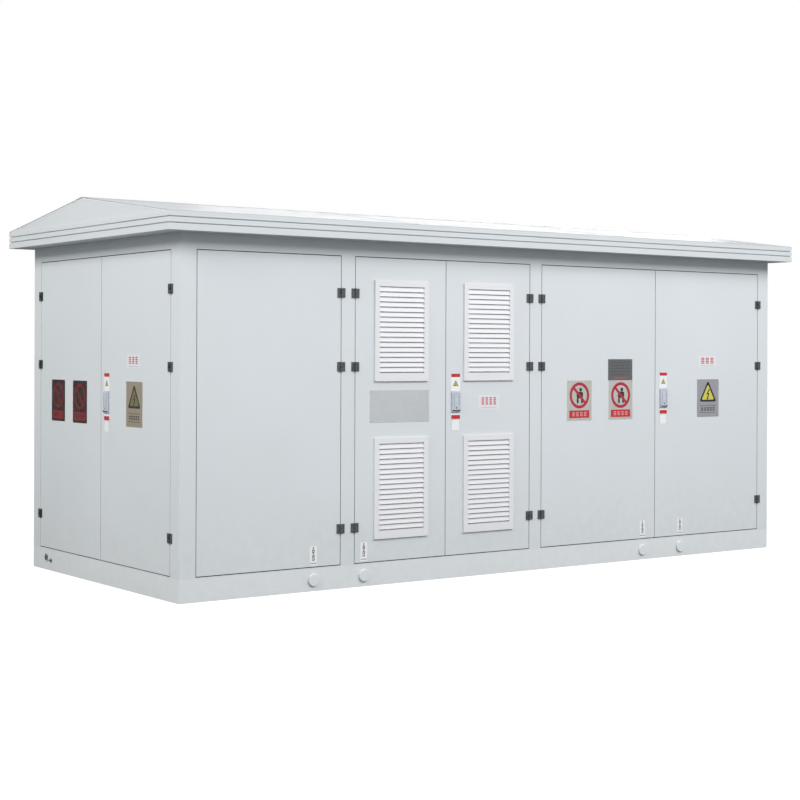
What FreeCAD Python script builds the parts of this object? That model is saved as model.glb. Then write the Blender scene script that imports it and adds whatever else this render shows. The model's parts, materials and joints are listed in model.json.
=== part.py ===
import FreeCAD, Part
import os
import re

import Sketcher
from FreeCAD import Placement, Rotation, Vector

# Walk-in box substation with a step-up transformer. Millimetres. Origin at the centre of the
# underside of the base frame, +X along the long front, -Y out of the front, +Z up.

SIZES = {
    # enclosure
    "body_length": 5805,
    "body_width": 2400,
    "corner_width": 126,
    "post_width": 116,
    "post_wall": 4,
    "base_height": 160,
    "bay_one": 1180,
    "bay_two": 1655,
    "bay_three": 2486,
    "door_low": 174,
    "door_high": 2386,
    "door_gap": 6,
    "wall_top": 2504,
    "skin": 3,
    "leaf_depth": 35,
    # base frame
    "channel_web": 8,
    "channel_flange": 60,
    "channel_lip": 8,
    "cross_width": 60,
    "cross_wall": 6,
    "anchor_radius": 9,
    "anchor_inset": 202.5,
    "floor_thickness": 5,
    "hv_cable_slot": 300,
    "lv_cable_slot": 300,
    "cable_slot_span": 1400,
    # lifting shafts
    "shaft_outer_x": 1829,
    "shaft_inner_x": 1395,
    "shaft_height": 80,
    "shaft_radius": 30,
    "shaft_clearance": 0.06,
    "shaft_length": 306,
    "cap_radius": 43,
    "cap_thickness": 10,
    "cap_standoff": 2,
    "sleeve_radius": 38,
    "sleeve_length": 150,
    # roof
    "eave_overhang": 136,
    "end_overhang": 158,
    "fascia_thickness": 20,
    "gable_inset": 5,
    "fascia_top": 2632,
    "groove_depth": 10,
    "groove_height": 8,
    "lower_groove": 2548,
    "upper_groove": 2589,
    "ridge_rise": 179,
    "roof_sheet": 4,
    "sheet_joint": 2,
    "ridge_cap_half": 110,
    "ridge_cap_gap": 0.5,
    "ridge_cap_sheet": 2,
    "truss_inset": 20,
    "truss_section": 50,
    "truss_width": 40,
    # louvres
    "louvre_width": 486,
    "louvre_height": 737,
    "louvre_depth": 12,
    "upper_louvre": 1854,
    "lower_louvre": 704,
    "slat_length": 404,
    "slat_pitch": 36.77,
    "slat_count": 17,
    "slot_height": 9,
    "slat_thickness": 2,
    "first_slot": 47,
    # hinges
    "hinge_height": 67,
    "hinge_half": 33,
    "hinge_plate": 6,
    "hinge_standoff": 10,
    "knuckle_radius": 7.5,
    "pin_radius": 4,
    "pin_clearance": 0.05,
    "knuckle_gap": 0.4,
    "top_hinge": 2124,
    "middle_hinge": 1594,
    "bottom_hinge": 431,
    # rod locks
    "lock_inset": 92,
    "lock_width": 88,
    "lock_plate_low": 1246,
    "lock_plate_high": 1410,
    "lock_plate_depth": 3,
    "handle_width": 80,
    "handle_length": 150,
    "handle_depth": 10,
    "handle_corner": 6,
    "handle_edge": 2.5,
    "handle_pivot": 1366,
    "handle_top": 1402,
    "spindle_radius": 8,
    "cam_radius": 26,
    "rod_radius": 6,
    "rod_depth": 22,
    "rod_reach": 2,
    "rod_clearance": 0.06,
    "guide_size": 24,
    "guide_height": 40,
    # transformer
    "transformer_x": -650,
    "tank_length": 1100,
    "tank_width": 560,
    "tank_low": 250,
    "tank_height": 900,
    "tank_wall": 6,
    "skid_width": 80,
    "skid_length": 760,
    "fin_thickness": 8,
    "fin_reach": 180,
    "end_fin_reach": 108,
    "fin_pitch": 52,
    "fin_count": 19,
    "end_fin_count": 9,
    "fin_height": 740,
    "cover_thickness": 12,
    "cover_rim": 40,
    "tap_offset": 480,
    "core_section": 120,
    "limb_pitch": 320,
    "core_height": 700,
    "coil_inner": 90,
    "coil_outer": 150,
    "coil_height": 430,
    "bushing_radius": 24,
    "bushing_row": 150,
    "hv_bushing_pitch": 320,
    "lv_bushing_pitch": 220,
    "bushing_foot": 70,
    "bushing_flange": 16,
    "terminal_length": 60,
    "hv_bushing_height": 330,
    "lv_bushing_height": 140,
    # switchgear
    "cubicle_width": 500,
    "cubicle_depth": 820,
    "cubicle_height": 1850,
    "cubicle_front": 2700,
    "sheet_wall": 3,
    "board_left": 480,
    "board_front": 820,
    "board_bay": 720,
    "board_depth": 600,
    "board_height": 2000,
    "breaker_width": 420,
    "breaker_height": 440,
    "breaker_depth": 60,
    "lever_radius": 10,
    "switch_height": 1100,
    "breaker_centre": 1150,
    # fasteners
    "bolt_radius": 9,
    "bolt_head": 6,
    "stud_radius": 6,
    "stud_length": 22,
    "earth_lug_y": 940,
    "earth_lug_z": 100,
    "earth_nut_y": 862,
    "earth_nut_z": 81,
    "screw_inset": 51,
    "screw_end": 60,
}

doc = FreeCAD.newDocument("BoxSubstation")
sheet = doc.addObject("Spreadsheet::Sheet", "Dimensions")
for row, (alias, number) in enumerate(SIZES.items(), start=1):
    sheet.set(f"A{row}", alias)
    sheet.set(f"B{row}", str(number))
    sheet.setAlias(f"B{row}", alias)
doc.recompute()

nodes = []


def size(alias):
    """Number held in one cell of the sheet."""
    return float(sheet.get(alias))


def bound(text):
    """Turn a formula in plain size names into one that reads the sheet's cells."""
    def cell(word):
        return f"Dimensions.{word.group()}" if word.group() in SIZES else word.group()
    return re.sub(r"[a-z]\w+", cell, str(text))


# Where the bays and posts fall along the front.
HALF_LENGTH = "body_length / 2"
FRONT = "body_width / 2"
BAY_ONE_LEFT = "-body_length / 2 + corner_width"
BAY_ONE_RIGHT = f"{BAY_ONE_LEFT} + bay_one"
BAY_TWO_LEFT = f"{BAY_ONE_RIGHT} + post_width"
BAY_TWO_RIGHT = f"{BAY_TWO_LEFT} + bay_two"
BAY_THREE_LEFT = f"{BAY_TWO_RIGHT} + post_width"
BAY_THREE_RIGHT = f"{BAY_THREE_LEFT} + bay_three"
END_OPENING = "body_width - 2 * corner_width"
DOOR_HEIGHT = "door_high - door_low"


def place(thing, at, turn=None):
    """Place a thing; its three coordinates are formulas in the sheet's names."""
    thing.Placement = Placement(Vector(), turn or Rotation())
    for axis, formula in zip("xyz", at):
        thing.setExpression(f".Placement.Base.{axis}", bound(formula))
    return thing


def block(name, x, y, z):
    """Rectangular block between low and high formulas on each axis."""
    thing = doc.addObject("Part::Box", name)
    for side, (low, high) in zip(("Length", "Width", "Height"), (x, y, z)):
        thing.setExpression(side, bound(f"({high}) - ({low})"))
    return place(thing, (x[0], y[0], z[0]))


DIRECTIONS = {
    "x": Rotation(Vector(0, 1, 0), 90),
    "-x": Rotation(Vector(0, 1, 0), -90),
    "y": Rotation(Vector(1, 0, 0), -90),
    "-y": Rotation(Vector(1, 0, 0), 90),
    "z": Rotation(),
}


def cylinder(name, radius, length, at, along="z"):
    thing = doc.addObject("Part::Cylinder", name)
    thing.setExpression("Radius", bound(radius))
    thing.setExpression("Height", bound(length))
    return place(thing, at, DIRECTIONS[along])


def fuse(name, pieces):
    thing = doc.addObject("Part::MultiFuse", name)
    thing.Shapes = pieces
    return thing


def cut(name, base, tools):
    """Take one or more tools away from a base."""
    thing = doc.addObject("Part::Cut", name)
    thing.Base = base
    thing.Tool = tools[0] if len(tools) == 1 else fuse(f"{name}_tools", tools)
    return thing


def group(name, pieces):
    """Separate solids kept together in one object."""
    thing = doc.addObject("Part::Compound", name)
    thing.Links = pieces
    return thing


def copy_of(source, name, at, turn=None):
    thing = doc.addObject("App::Link", name)
    thing.LinkedObject = source
    return place(thing, at, turn)


def node(label, thing):
    """Name a finished sub-part, which is written to its own file."""
    thing.Label = label
    nodes.append(thing)
    return thing


def body(name):
    return doc.addObject("PartDesign::Body", name)


def origin_feature(owner, role):
    return next(item for item in owner.Origin.OriginFeatures if item.Role == role)


def new_sketch(owner, name, plane, offset=None):
    sketch = owner.newObject("Sketcher::SketchObject", name)
    sketch.AttachmentSupport = [(origin_feature(owner, f"{plane}_Plane"), "")]
    sketch.MapMode = "FlatFace"
    if offset is not None:
        sketch.setExpression(".AttachmentOffset.Base.z", bound(offset))
    return sketch


def pin_point(sketch, line, tag, across, up):
    """Hold a line's start at two formulas; a plain 0 puts it on the sketch's own axis."""
    for kind, axis, formula in (("DistanceX", -2, across), ("DistanceY", -1, up)):
        if formula == "0":
            sketch.addConstraint(Sketcher.Constraint("PointOnObject", line, 1, axis))
            continue
        index = sketch.addConstraint(Sketcher.Constraint(kind, -1, 1, line, 1, 1.0))
        sketch.renameConstraint(index, f"{tag}_{kind}")
        sketch.setExpression(f"Constraints.{tag}_{kind}", bound(formula))


def outline(sketch, tag, corners):
    """Closed outline through corners, each a pair of formulas."""
    first = sketch.GeometryCount
    count = len(corners)
    for index in range(count):
        start = Vector(10.0 * index, (7.0 * index) % 31, 0)
        end = Vector(10.0 * index + 5, (7.0 * index + 4) % 31, 0)
        sketch.addGeometry(Part.LineSegment(start, end), False)
    for index in range(count):
        following = first + (index + 1) % count
        sketch.addConstraint(Sketcher.Constraint("Coincident", first + index, 2, following, 1))
    for index, (across, up) in enumerate(corners):
        pin_point(sketch, first + index, f"{tag}_{index}", across, up)


def rectangle(sketch, tag, across, up):
    left, right = across
    low, high = up
    outline(sketch, tag, [(left, low), (right, low), (right, high), (left, high)])


def pad(owner, sketch, name, length, reverse=False, middle=False):
    feature = owner.newObject("PartDesign::Pad", name)
    feature.Profile = sketch
    feature.setExpression("Length", bound(length))
    feature.Reversed = reverse
    feature.Midplane = middle
    sketch.Visibility = False
    return feature


def pocket(owner, sketch, name, length, reverse=False):
    feature = owner.newObject("PartDesign::Pocket", name)
    feature.Profile = sketch
    feature.setExpression("Length", bound(length))
    feature.Reversed = reverse
    sketch.Visibility = False
    return feature


def row_of(owner, feature, name, axis, pitch, count):
    """Repeat a feature along one of the body's own axes."""
    pattern = owner.newObject("PartDesign::LinearPattern", name)
    pattern.Originals = [feature]
    pattern.Direction = (origin_feature(owner, f"{axis}_Axis"), [""])
    pattern.setExpression("Length", bound(f"({pitch}) * (({count}) - 1)"))
    pattern.setExpression("Occurrences", bound(count))
    owner.Tip = pattern
    return pattern


# --- base frame -------------------------------------------------------------------------------

LIFTING_X = ("-shaft_outer_x", "-shaft_inner_x", "shaft_inner_x", "shaft_outer_x")
HALF_TURN = Rotation(Vector(0, 0, 1), 180)


def long_channel():
    """Front base channel: flat web outside, flanges inward, drilled for shafts and anchors."""
    channel = body("long_channel")
    profile = new_sketch(channel, "long_channel_profile", "YZ")
    face = f"-{FRONT}"
    inner = f"-{FRONT} + channel_flange"
    web = f"-{FRONT} + channel_web"
    upper = "base_height - channel_lip"
    corners = [(face, "0"), (inner, "0"), (inner, "channel_lip"), (web, "channel_lip"),
               (web, upper), (inner, upper), (inner, "base_height"), (face, "base_height")]
    outline(profile, "channel", corners)
    pad(channel, profile, "long_channel_pad", "body_length", middle=True)
    drills = [
        cylinder(f"shaft_hole_{index}", "shaft_radius + shaft_clearance", "channel_web + 2",
                 (where, f"-{FRONT} - 1", "shaft_height"), "y")
        for index, where in enumerate(LIFTING_X)
    ]
    for index, sign in enumerate("-+"):
        across = f"{sign}({HALF_LENGTH} - anchor_inset)"
        drills.append(cylinder(f"anchor_hole_{index}", "anchor_radius", "channel_lip + 2",
                               (across, f"-{FRONT} + channel_flange / 2", "-1")))
    return cut("drilled_channel", channel, drills)


def end_channel():
    channel = body("end_channel")
    profile = new_sketch(channel, "end_channel_profile", "XZ")
    face = f"-{HALF_LENGTH}"
    inner = f"-{HALF_LENGTH} + channel_flange"
    web = f"-{HALF_LENGTH} + channel_web"
    upper = "base_height - channel_lip"
    corners = [(face, "0"), (inner, "0"), (inner, "channel_lip"), (web, "channel_lip"),
               (web, upper), (inner, upper), (inner, "base_height"), (face, "base_height")]
    outline(profile, "channel", corners)
    pad(channel, profile, "end_channel_pad", "body_width - 2 * channel_flange", middle=True)
    return channel


def cross_member(name, middle):
    """Hollow member between the two long channels."""
    across = (f"{middle} - cross_width / 2", f"{middle} + cross_width / 2")
    along = (f"-{FRONT} + channel_web", f"{FRONT} - channel_web")
    up = ("channel_lip", "base_height - channel_lip")
    inside = block(f"{name}_inside",
                   (f"{across[0]} + cross_wall", f"{across[1]} - cross_wall"),
                   (f"{along[0]} - 1", f"{along[1]} + 1"),
                   (f"{up[0]} + cross_wall", f"{up[1]} - cross_wall"))
    return cut(name, block(f"{name}_outside", across, along, up), [inside])


def shaft_sleeve():
    """Guide tube behind a lifting shaft's hole, at the first shaft on the front."""
    at = ("0", f"-{FRONT} + channel_web", "shaft_height")
    outside = cylinder("sleeve_outside", "sleeve_radius", "sleeve_length", at, "y")
    inside = cylinder("sleeve_inside", "shaft_radius + shaft_clearance", "sleeve_length", at, "y")
    return cut("shaft_sleeve", outside, [inside])


def base_frame():
    front = long_channel()
    left = end_channel()
    pieces = [front, left]
    pieces.append(copy_of(front, "rear_channel", ("0", "0", "0"), HALF_TURN))
    pieces.append(copy_of(left, "right_channel", ("0", "0", "0"), HALF_TURN))
    middles = {
        "hv_wall_member": f"{BAY_ONE_RIGHT} + post_width / 2",
        "left_skid_member": "transformer_x - limb_pitch",
        "right_skid_member": "transformer_x + limb_pitch",
        "lv_wall_member": f"{BAY_TWO_RIGHT} + post_width / 2",
        "board_member": f"{BAY_THREE_RIGHT} - 3 * post_width",
    }
    pieces += [cross_member(name, middle) for name, middle in middles.items()]
    sleeve = shaft_sleeve()
    for index, where in enumerate(LIFTING_X):
        pieces.append(copy_of(sleeve, f"front_sleeve_{index}", (where, "0", "0")))
        pieces.append(copy_of(sleeve, f"rear_sleeve_{index}", (where, "0", "0"), HALF_TURN))
    lengthwise = {"left": f"-{HALF_LENGTH}", "right": f"{HALF_LENGTH} - channel_web"}
    crosswise = {"front": f"-{FRONT} + channel_web", "rear": f"{FRONT} - channel_flange"}
    for side, across in lengthwise.items():
        for end, along in crosswise.items():
            pieces.append(block(f"{end}_{side}_gusset", (across, f"{across} + channel_web"),
                                (along, f"{along} + channel_flange - channel_web"),
                                ("channel_lip", "base_height - channel_lip")))
    node("base_frame", group("base_frame", pieces))


def lifting_shaft():
    """Pull-out lifting shaft, pushed in: cap outside, stop collar behind the sleeve."""
    face = f"-{FRONT} - cap_standoff"
    shaft = cylinder("shaft_rod", "shaft_radius", "shaft_length", ("0", face, "0"), "y")
    cap = cylinder("shaft_cap", "cap_radius", "cap_thickness", ("0", face, "0"), "-y")
    collar = cylinder("shaft_collar", "sleeve_radius - 2", "cap_thickness",
                      ("0", f"{face} + shaft_length - cap_thickness", "0"), "y")
    shape = fuse("lifting_shaft_blank", [shaft, cap, collar])
    edge = doc.addObject("Part::Fillet", "lifting_shaft_shape")
    edge.Base = shape
    doc.recompute()
    outer_face = -size("body_width") / 2 - size("cap_standoff") - size("cap_thickness")
    rims = [number for number, item in enumerate(shape.Shape.Edges, start=1)
            if abs(item.BoundBox.YMin - outer_face) < 0.01 and item.BoundBox.YLength < 0.01]
    edge.Edges = [(number, 3.0, 3.0) for number in rims]
    return edge


def lifting_shafts():
    pattern = lifting_shaft()
    sides = (("front", Rotation()), ("rear", HALF_TURN))
    places = (("outer_left", "-shaft_outer_x"), ("inner_left", "-shaft_inner_x"),
              ("inner_right", "shaft_inner_x"), ("outer_right", "shaft_outer_x"))
    for side, turn in sides:
        for where, across in places:
            label = f"lifting_shaft_{side}_{where}"
            holder = group(label, [copy_of(pattern, f"{label}_copy", ("0", "0", "0"))])
            node(label, place(holder, (across, "0", "shaft_height"), turn))


def floor_plates():
    """Floor sheets with an open slot under the switchgear for cables."""
    up = ("base_height", "base_height + floor_thickness")
    inside = (f"-{FRONT} + corner_width", f"{FRONT} - corner_width")
    hv_middle = "-cubicle_front + cubicle_depth / 2"
    lv_middle = "board_left + 1.5 * board_bay"
    wall = f"{BAY_ONE_RIGHT} + post_width / 2"
    far_wall = f"{BAY_TWO_RIGHT} + post_width / 2"
    left = f"-{HALF_LENGTH} + corner_width"
    right = f"{HALF_LENGTH} - corner_width"
    hv_slot = (f"{hv_middle} - hv_cable_slot / 2", f"{hv_middle} + hv_cable_slot / 2")
    lv_back = "-board_front + board_depth / 2"
    lv_slot = (f"{lv_back} - lv_cable_slot / 2", f"{lv_back} + lv_cable_slot / 2")
    lv_span = (f"{lv_middle} - cable_slot_span / 2", f"{lv_middle} + cable_slot_span / 2")
    sheets = {
        "hv_floor_left": ((left, hv_slot[0]), inside),
        "hv_floor_right": ((hv_slot[1], f"{wall} - skin"), inside),
        "hv_floor_front": (hv_slot, (inside[0], "-cable_slot_span / 2")),
        "hv_floor_rear": (hv_slot, ("cable_slot_span / 2", inside[1])),
        "transformer_floor": ((f"{wall} + skin", f"{far_wall} - skin"), inside),
        "lv_floor_left": ((f"{far_wall} + skin", lv_span[0]), inside),
        "lv_floor_right": ((lv_span[1], right), inside),
        "lv_floor_front": (lv_span, (inside[0], lv_slot[0])),
        "lv_floor_rear": (lv_span, (lv_slot[1], inside[1])),
    }
    pieces = [block(name, across, along, up) for name, (across, along) in sheets.items()]
    node("floor_plates", group("floor_plates", pieces))


# --- wall frame -------------------------------------------------------------------------------

def post_middles():
    """Centres of the four rows of posts, as formulas."""
    corner = f"{HALF_LENGTH} - corner_width / 2"
    return (f"-({corner})", f"{BAY_ONE_RIGHT} + post_width / 2",
            f"{BAY_TWO_RIGHT} + post_width / 2", corner)


def wall_post(name, width):
    """Hollow post; every post is as deep as the corner posts."""
    post = body(name)
    section = new_sketch(post, f"{name}_section", "XY")
    half = f"({width}) / 2"
    deep = "corner_width / 2"
    rectangle(section, "outside", (f"-{half}", half), (f"-{deep}", deep))
    rectangle(section, "inside", (f"-({half} - post_wall)", f"{half} - post_wall"),
              (f"-({deep} - post_wall)", f"{deep} - post_wall"))
    pad(post, section, f"{name}_pad", "wall_top - base_height")
    return post


def rail(name, across, along, low, high):
    """Hollow header rail that fills a bay above its doors."""
    wall = "post_wall"
    outside = block(f"{name}_outside", across, along, (low, high))
    inside = block(f"{name}_inside",
                   (f"{across[0]} + {wall}", f"{across[1]} - {wall}"),
                   (f"{along[0]} + {wall}", f"{along[1]} - {wall}"),
                   (f"{low} + {wall}", f"{high} - {wall}"))
    return cut(name, outside, [inside])


def wall_frame():
    corner = wall_post("corner_post", "corner_width")
    middle = wall_post("middle_post", "post_width")
    side = f"({FRONT} - corner_width / 2)"
    pieces = []
    rows = zip((corner, middle, middle, corner), post_middles())
    for row, (post, across) in enumerate(rows):
        for sign in "-+":
            name = f"post_{row}_{'front' if sign == '-' else 'rear'}"
            pieces.append(copy_of(post, name, (across, f"{sign}{side}", "base_height")))
    bays = ((BAY_ONE_LEFT, BAY_ONE_RIGHT), (BAY_TWO_LEFT, BAY_TWO_RIGHT),
            (BAY_THREE_LEFT, BAY_THREE_RIGHT))
    header = "door_high + door_gap"
    sill = ("base_height", "door_low - door_gap")
    front = (f"-{FRONT}", f"-{FRONT} + corner_width")
    rear = (f"{FRONT} - corner_width", FRONT)
    for index, bay in enumerate(bays):
        for name, along in (("front", front), ("rear", rear)):
            pieces.append(rail(f"{name}_header_{index}", bay, along, header, "wall_top"))
            pieces.append(block(f"{name}_sill_{index}", bay, along, sill))
    between = (f"-{FRONT} + corner_width", f"{FRONT} - corner_width")
    left = (f"-{HALF_LENGTH}", f"-{HALF_LENGTH} + corner_width")
    right = (f"{HALF_LENGTH} - corner_width", HALF_LENGTH)
    for name, across in (("left", left), ("right", right)):
        pieces.append(rail(f"{name}_header", across, between, header, "wall_top"))
        pieces.append(block(f"{name}_sill", across, between, sill))
    node("wall_frame", group("wall_frame", pieces))


def partition_walls():
    """Steel walls that part the three rooms."""
    pieces = []
    for name, edge in (("hv_partition", BAY_ONE_RIGHT), ("lv_partition", BAY_TWO_RIGHT)):
        middle = f"{edge} + post_width / 2"
        pieces.append(block(name, (f"{middle} - skin / 2", f"{middle} + skin / 2"),
                            (f"-{FRONT} + corner_width", f"{FRONT} - corner_width"),
                            ("base_height + floor_thickness", "wall_top")))
    node("partition_walls", group("partition_walls", pieces))


# --- doors and panels -------------------------------------------------------------------------

def sheet_tray(name, width, louvred):
    """Folded sheet leaf. Own frame: outer face at Y 0, X from 0 to the width, Z from 0 up."""
    tray = body(name)
    face = new_sketch(tray, f"{name}_face", "XZ")
    rectangle(face, "edge", ("0", width), ("0", DOOR_HEIGHT))
    pad(tray, face, f"{name}_skin", "skin", reverse=True)
    rim = new_sketch(tray, f"{name}_rim", "XZ")
    rectangle(rim, "outer", ("0", width), ("0", DOOR_HEIGHT))
    rectangle(rim, "inner", ("skin", f"{width} - skin"), ("skin", f"{DOOR_HEIGHT} - skin"))
    pad(tray, rim, f"{name}_flange", "leaf_depth", reverse=True)
    if louvred:
        half = "slat_length / 2 + 8"
        for tag, middle in (("upper", "upper_louvre"), ("lower", "lower_louvre")):
            window = new_sketch(tray, f"{name}_{tag}_window", "XZ")
            tall = "louvre_height / 2 - 20"
            rectangle(window, "window", (f"{width} / 2 - ({half})", f"{width} / 2 + {half}"),
                      (f"{middle} - door_low - ({tall})", f"{middle} - door_low + {tall}"))
            pocket(tray, window, f"{name}_{tag}_opening", "skin + 1", reverse=True)
    return tray


def rod_guides(name, width, inset):
    """Guide blocks at the leaf's head and foot, and the three tools that drill the leaf."""
    half = "guide_size / 2"
    across = (f"{inset} - {half}", f"{inset} + {half}")
    deep = ("skin", f"rod_depth + {half}")
    foot = block(f"{name}_foot_guide", across, deep, ("0", "guide_height"))
    head = block(f"{name}_head_guide", across, deep,
                 (f"{DOOR_HEIGHT} - guide_height", DOOR_HEIGHT))
    radius = "rod_radius + rod_clearance"
    span = "guide_height + 2"
    drills = [
        cylinder(f"{name}_foot_bore", radius, span, (inset, "rod_depth", "-1")),
        cylinder(f"{name}_head_bore", radius, span,
                 (inset, "rod_depth", f"{DOOR_HEIGHT} - guide_height - 1")),
        cylinder(f"{name}_spindle_bore", "spindle_radius + rod_clearance", "skin + 2",
                 (inset, "-1", "handle_pivot - door_low"), "y"),
    ]
    return [foot, head], drills


def door_leaf(label, width, at, turn=None, louvred=False, lock=None):
    """Door leaf, with lock guides when a distance to the lock is given."""
    tray = sheet_tray(f"{label}_tray", width, louvred)
    if lock is None:
        holder = group(label, [tray])
    else:
        guides, drills = rod_guides(label, width, lock)
        holder = cut(label, fuse(f"{label}_with_guides", [tray] + guides), drills)
    node(label, place(holder, at, turn))


LEFT_END = Rotation(Vector(0, 0, 1), -90)
RIGHT_END = Rotation(Vector(0, 0, 1), 90)
SPLIT_TWO = f"{BAY_TWO_LEFT} + bay_two / 2"
SPLIT_THREE = f"{BAY_THREE_LEFT} + bay_three / 2"
HALF_TWO = "(bay_two - 3 * door_gap) / 2"
HALF_THREE = "(bay_three - 3 * door_gap) / 2"
HALF_END = f"({END_OPENING} - 3 * door_gap) / 2"


def doors():
    front = f"-{FRONT}"
    foot = "door_low"
    door_leaf("hv_side_door", "(bay_one - 2 * door_gap)", (f"{BAY_ONE_LEFT} + door_gap", front, foot))
    door_leaf("transformer_door_left", HALF_TWO, (f"{BAY_TWO_LEFT} + door_gap", front, foot),
              louvred=True)
    door_leaf("transformer_door_right", HALF_TWO, (f"{SPLIT_TWO} + door_gap / 2", front, foot),
              louvred=True, lock="lock_inset")
    door_leaf("lv_door_left", HALF_THREE, (f"{BAY_THREE_LEFT} + door_gap", front, foot))
    door_leaf("lv_door_right", HALF_THREE, (f"{SPLIT_THREE} + door_gap / 2", front, foot),
              lock="lock_inset")
    end = f"-{HALF_LENGTH}"
    door_leaf("hv_end_door_rear", HALF_END, (end, f"({END_OPENING}) / 2 - door_gap", foot), LEFT_END)
    door_leaf("hv_end_door_front", HALF_END, (end, "-door_gap / 2", foot), LEFT_END,
              lock="lock_inset")


def fixed_panels():
    """Bolted panels: five plain ones and the louvred pair behind the transformer."""
    foot = "door_low"
    rear = FRONT
    plain_one = sheet_tray("rear_hv_panel", "(bay_one - 2 * door_gap)", False)
    plain_three = sheet_tray("rear_lv_panel", HALF_THREE, False)
    plain_end = sheet_tray("right_end_panel", HALF_END, False)
    louvred = sheet_tray("rear_louvred_panel", HALF_TWO, True)
    layout = [
        (plain_one, "a", (f"{BAY_ONE_RIGHT} - door_gap", rear, foot), HALF_TURN),
        (louvred, "a", (f"{SPLIT_TWO} - door_gap / 2", rear, foot), HALF_TURN),
        (louvred, "b", (f"{BAY_TWO_RIGHT} - door_gap", rear, foot), HALF_TURN),
        (plain_three, "a", (f"{SPLIT_THREE} - door_gap / 2", rear, foot), HALF_TURN),
        (plain_three, "b", (f"{BAY_THREE_RIGHT} - door_gap", rear, foot), HALF_TURN),
        (plain_end, "a", (HALF_LENGTH, f"-({END_OPENING}) / 2 + door_gap", foot), RIGHT_END),
        (plain_end, "b", (HALF_LENGTH, "door_gap / 2", foot), RIGHT_END),
    ]
    pieces = [copy_of(tray, f"{tray.Name}_{mark}", at, turn)
              for tray, mark, at, turn in layout]
    node("fixed_panels", group("fixed_panels", pieces))


def louvre_panel():
    """Louvre with sloping slats. Own frame: centre of its back face, outside towards -Y."""
    panel = body("louvre_panel")
    face = new_sketch(panel, "louvre_face", "XZ")
    half_width = "louvre_width / 2"
    half_height = "louvre_height / 2"
    top = f"{half_height} - first_slot"
    opening_low = f"{top} - slat_pitch * slat_count - slot_height / 2"
    opening_high = f"{top} + slot_height / 2"
    half_slat = "slat_length / 2"
    rectangle(face, "edge", (f"-{half_width}", half_width), (f"-{half_height}", half_height))
    rectangle(face, "opening", (f"-{half_slat}", half_slat), (opening_low, opening_high))
    pad(panel, face, "louvre_border", "louvre_depth")
    slat = new_sketch(panel, "slat_section", "YZ")
    foot = f"{top} - slat_pitch + slot_height / 2"
    head = f"{top} - 1"
    outline(slat, "slat", [("-louvre_depth", foot), ("-louvre_depth + slat_thickness", foot),
                           ("-1", head), ("-1 - slat_thickness", head)])
    blade = pad(panel, slat, "slat_blade", "slat_length + 2", middle=True)
    doc.recompute()
    row = row_of(panel, blade, "slat_row", "Z", "slat_pitch", "slat_count")
    row.Reversed = True
    return panel


def louvres():
    panel = louvre_panel()
    heights = (("upper", "upper_louvre"), ("lower", "lower_louvre"))

    def pair(label, middle, side, turn=None):
        return [copy_of(panel, f"{label}_{tag}", (middle, side, height), turn)
                for tag, height in heights]

    left_middle = f"{BAY_TWO_LEFT} + door_gap + {HALF_TWO} / 2"
    right_middle = f"{SPLIT_TWO} + door_gap / 2 + {HALF_TWO} / 2"
    for label, middle in (("door_louvres_left", left_middle), ("door_louvres_right", right_middle)):
        node(label, group(label, pair(label, middle, f"-{FRONT}")))
    rear = pair("rear_louvre_a", left_middle, FRONT, HALF_TURN)
    rear += pair("rear_louvre_b", right_middle, FRONT, HALF_TURN)
    node("rear_louvres", group("rear_louvres", rear))


# --- hinges -----------------------------------------------------------------------------------

HINGE_HEIGHTS = ("bottom_hinge", "middle_hinge", "top_hinge")
FLIP = Rotation(Vector(0, 1, 0), 180)


def hinge_leaf(name, toward, knuckles):
    """One hinge leaf. Own frame: pin axis on Z, the sheet's outer face at Y = hinge_standoff."""
    reach = "knuckle_radius + 1"
    plate_y = ("hinge_standoff - hinge_plate", "hinge_standoff")
    half = "hinge_height / 2"
    plate_x = (reach, "hinge_half") if toward > 0 else ("-hinge_half", f"-({reach})")
    web_x = ("0", reach) if toward > 0 else (f"-({reach})", "0")
    pieces = [block(f"{name}_plate", plate_x, plate_y, (f"-{half}", half))]
    for index, (low, high) in enumerate(knuckles):
        pieces.append(block(f"{name}_web_{index}", web_x, plate_y, (low, high)))
        pieces.append(cylinder(f"{name}_knuckle_{index}", "knuckle_radius",
                               f"({high}) - ({low})", ("0", "0", low)))
    bore = cylinder(f"{name}_bore", "pin_radius + pin_clearance", "hinge_height + 2",
                    ("0", "0", f"-{half} - 1"))
    return cut(name, fuse(f"{name}_blank", pieces), [bore])


def hinge_sites():
    """Label of each door, its hinge line (x, y) as formulas, and the turn of its hinges."""
    front = f"-{FRONT} - hinge_standoff"
    end = f"-{HALF_LENGTH} - hinge_standoff"
    edge = f"({END_OPENING}) / 2 - door_gap / 2"
    gap = "door_gap / 2"
    end_flip = LEFT_END.multiply(FLIP)
    return {
        "hv_side_door": (f"{BAY_ONE_RIGHT} - {gap}", front, Rotation()),
        "transformer_door_left": (f"{BAY_TWO_LEFT} + {gap}", front, FLIP),
        "transformer_door_right": (f"{BAY_TWO_RIGHT} - {gap}", front, Rotation()),
        "lv_door_left": (f"{BAY_THREE_LEFT} + {gap}", front, FLIP),
        "lv_door_right": (f"{BAY_THREE_RIGHT} - {gap}", front, Rotation()),
        "hv_end_door_front": (end, f"-({edge})", LEFT_END),
        "hv_end_door_rear": (end, edge, end_flip),
    }


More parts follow.
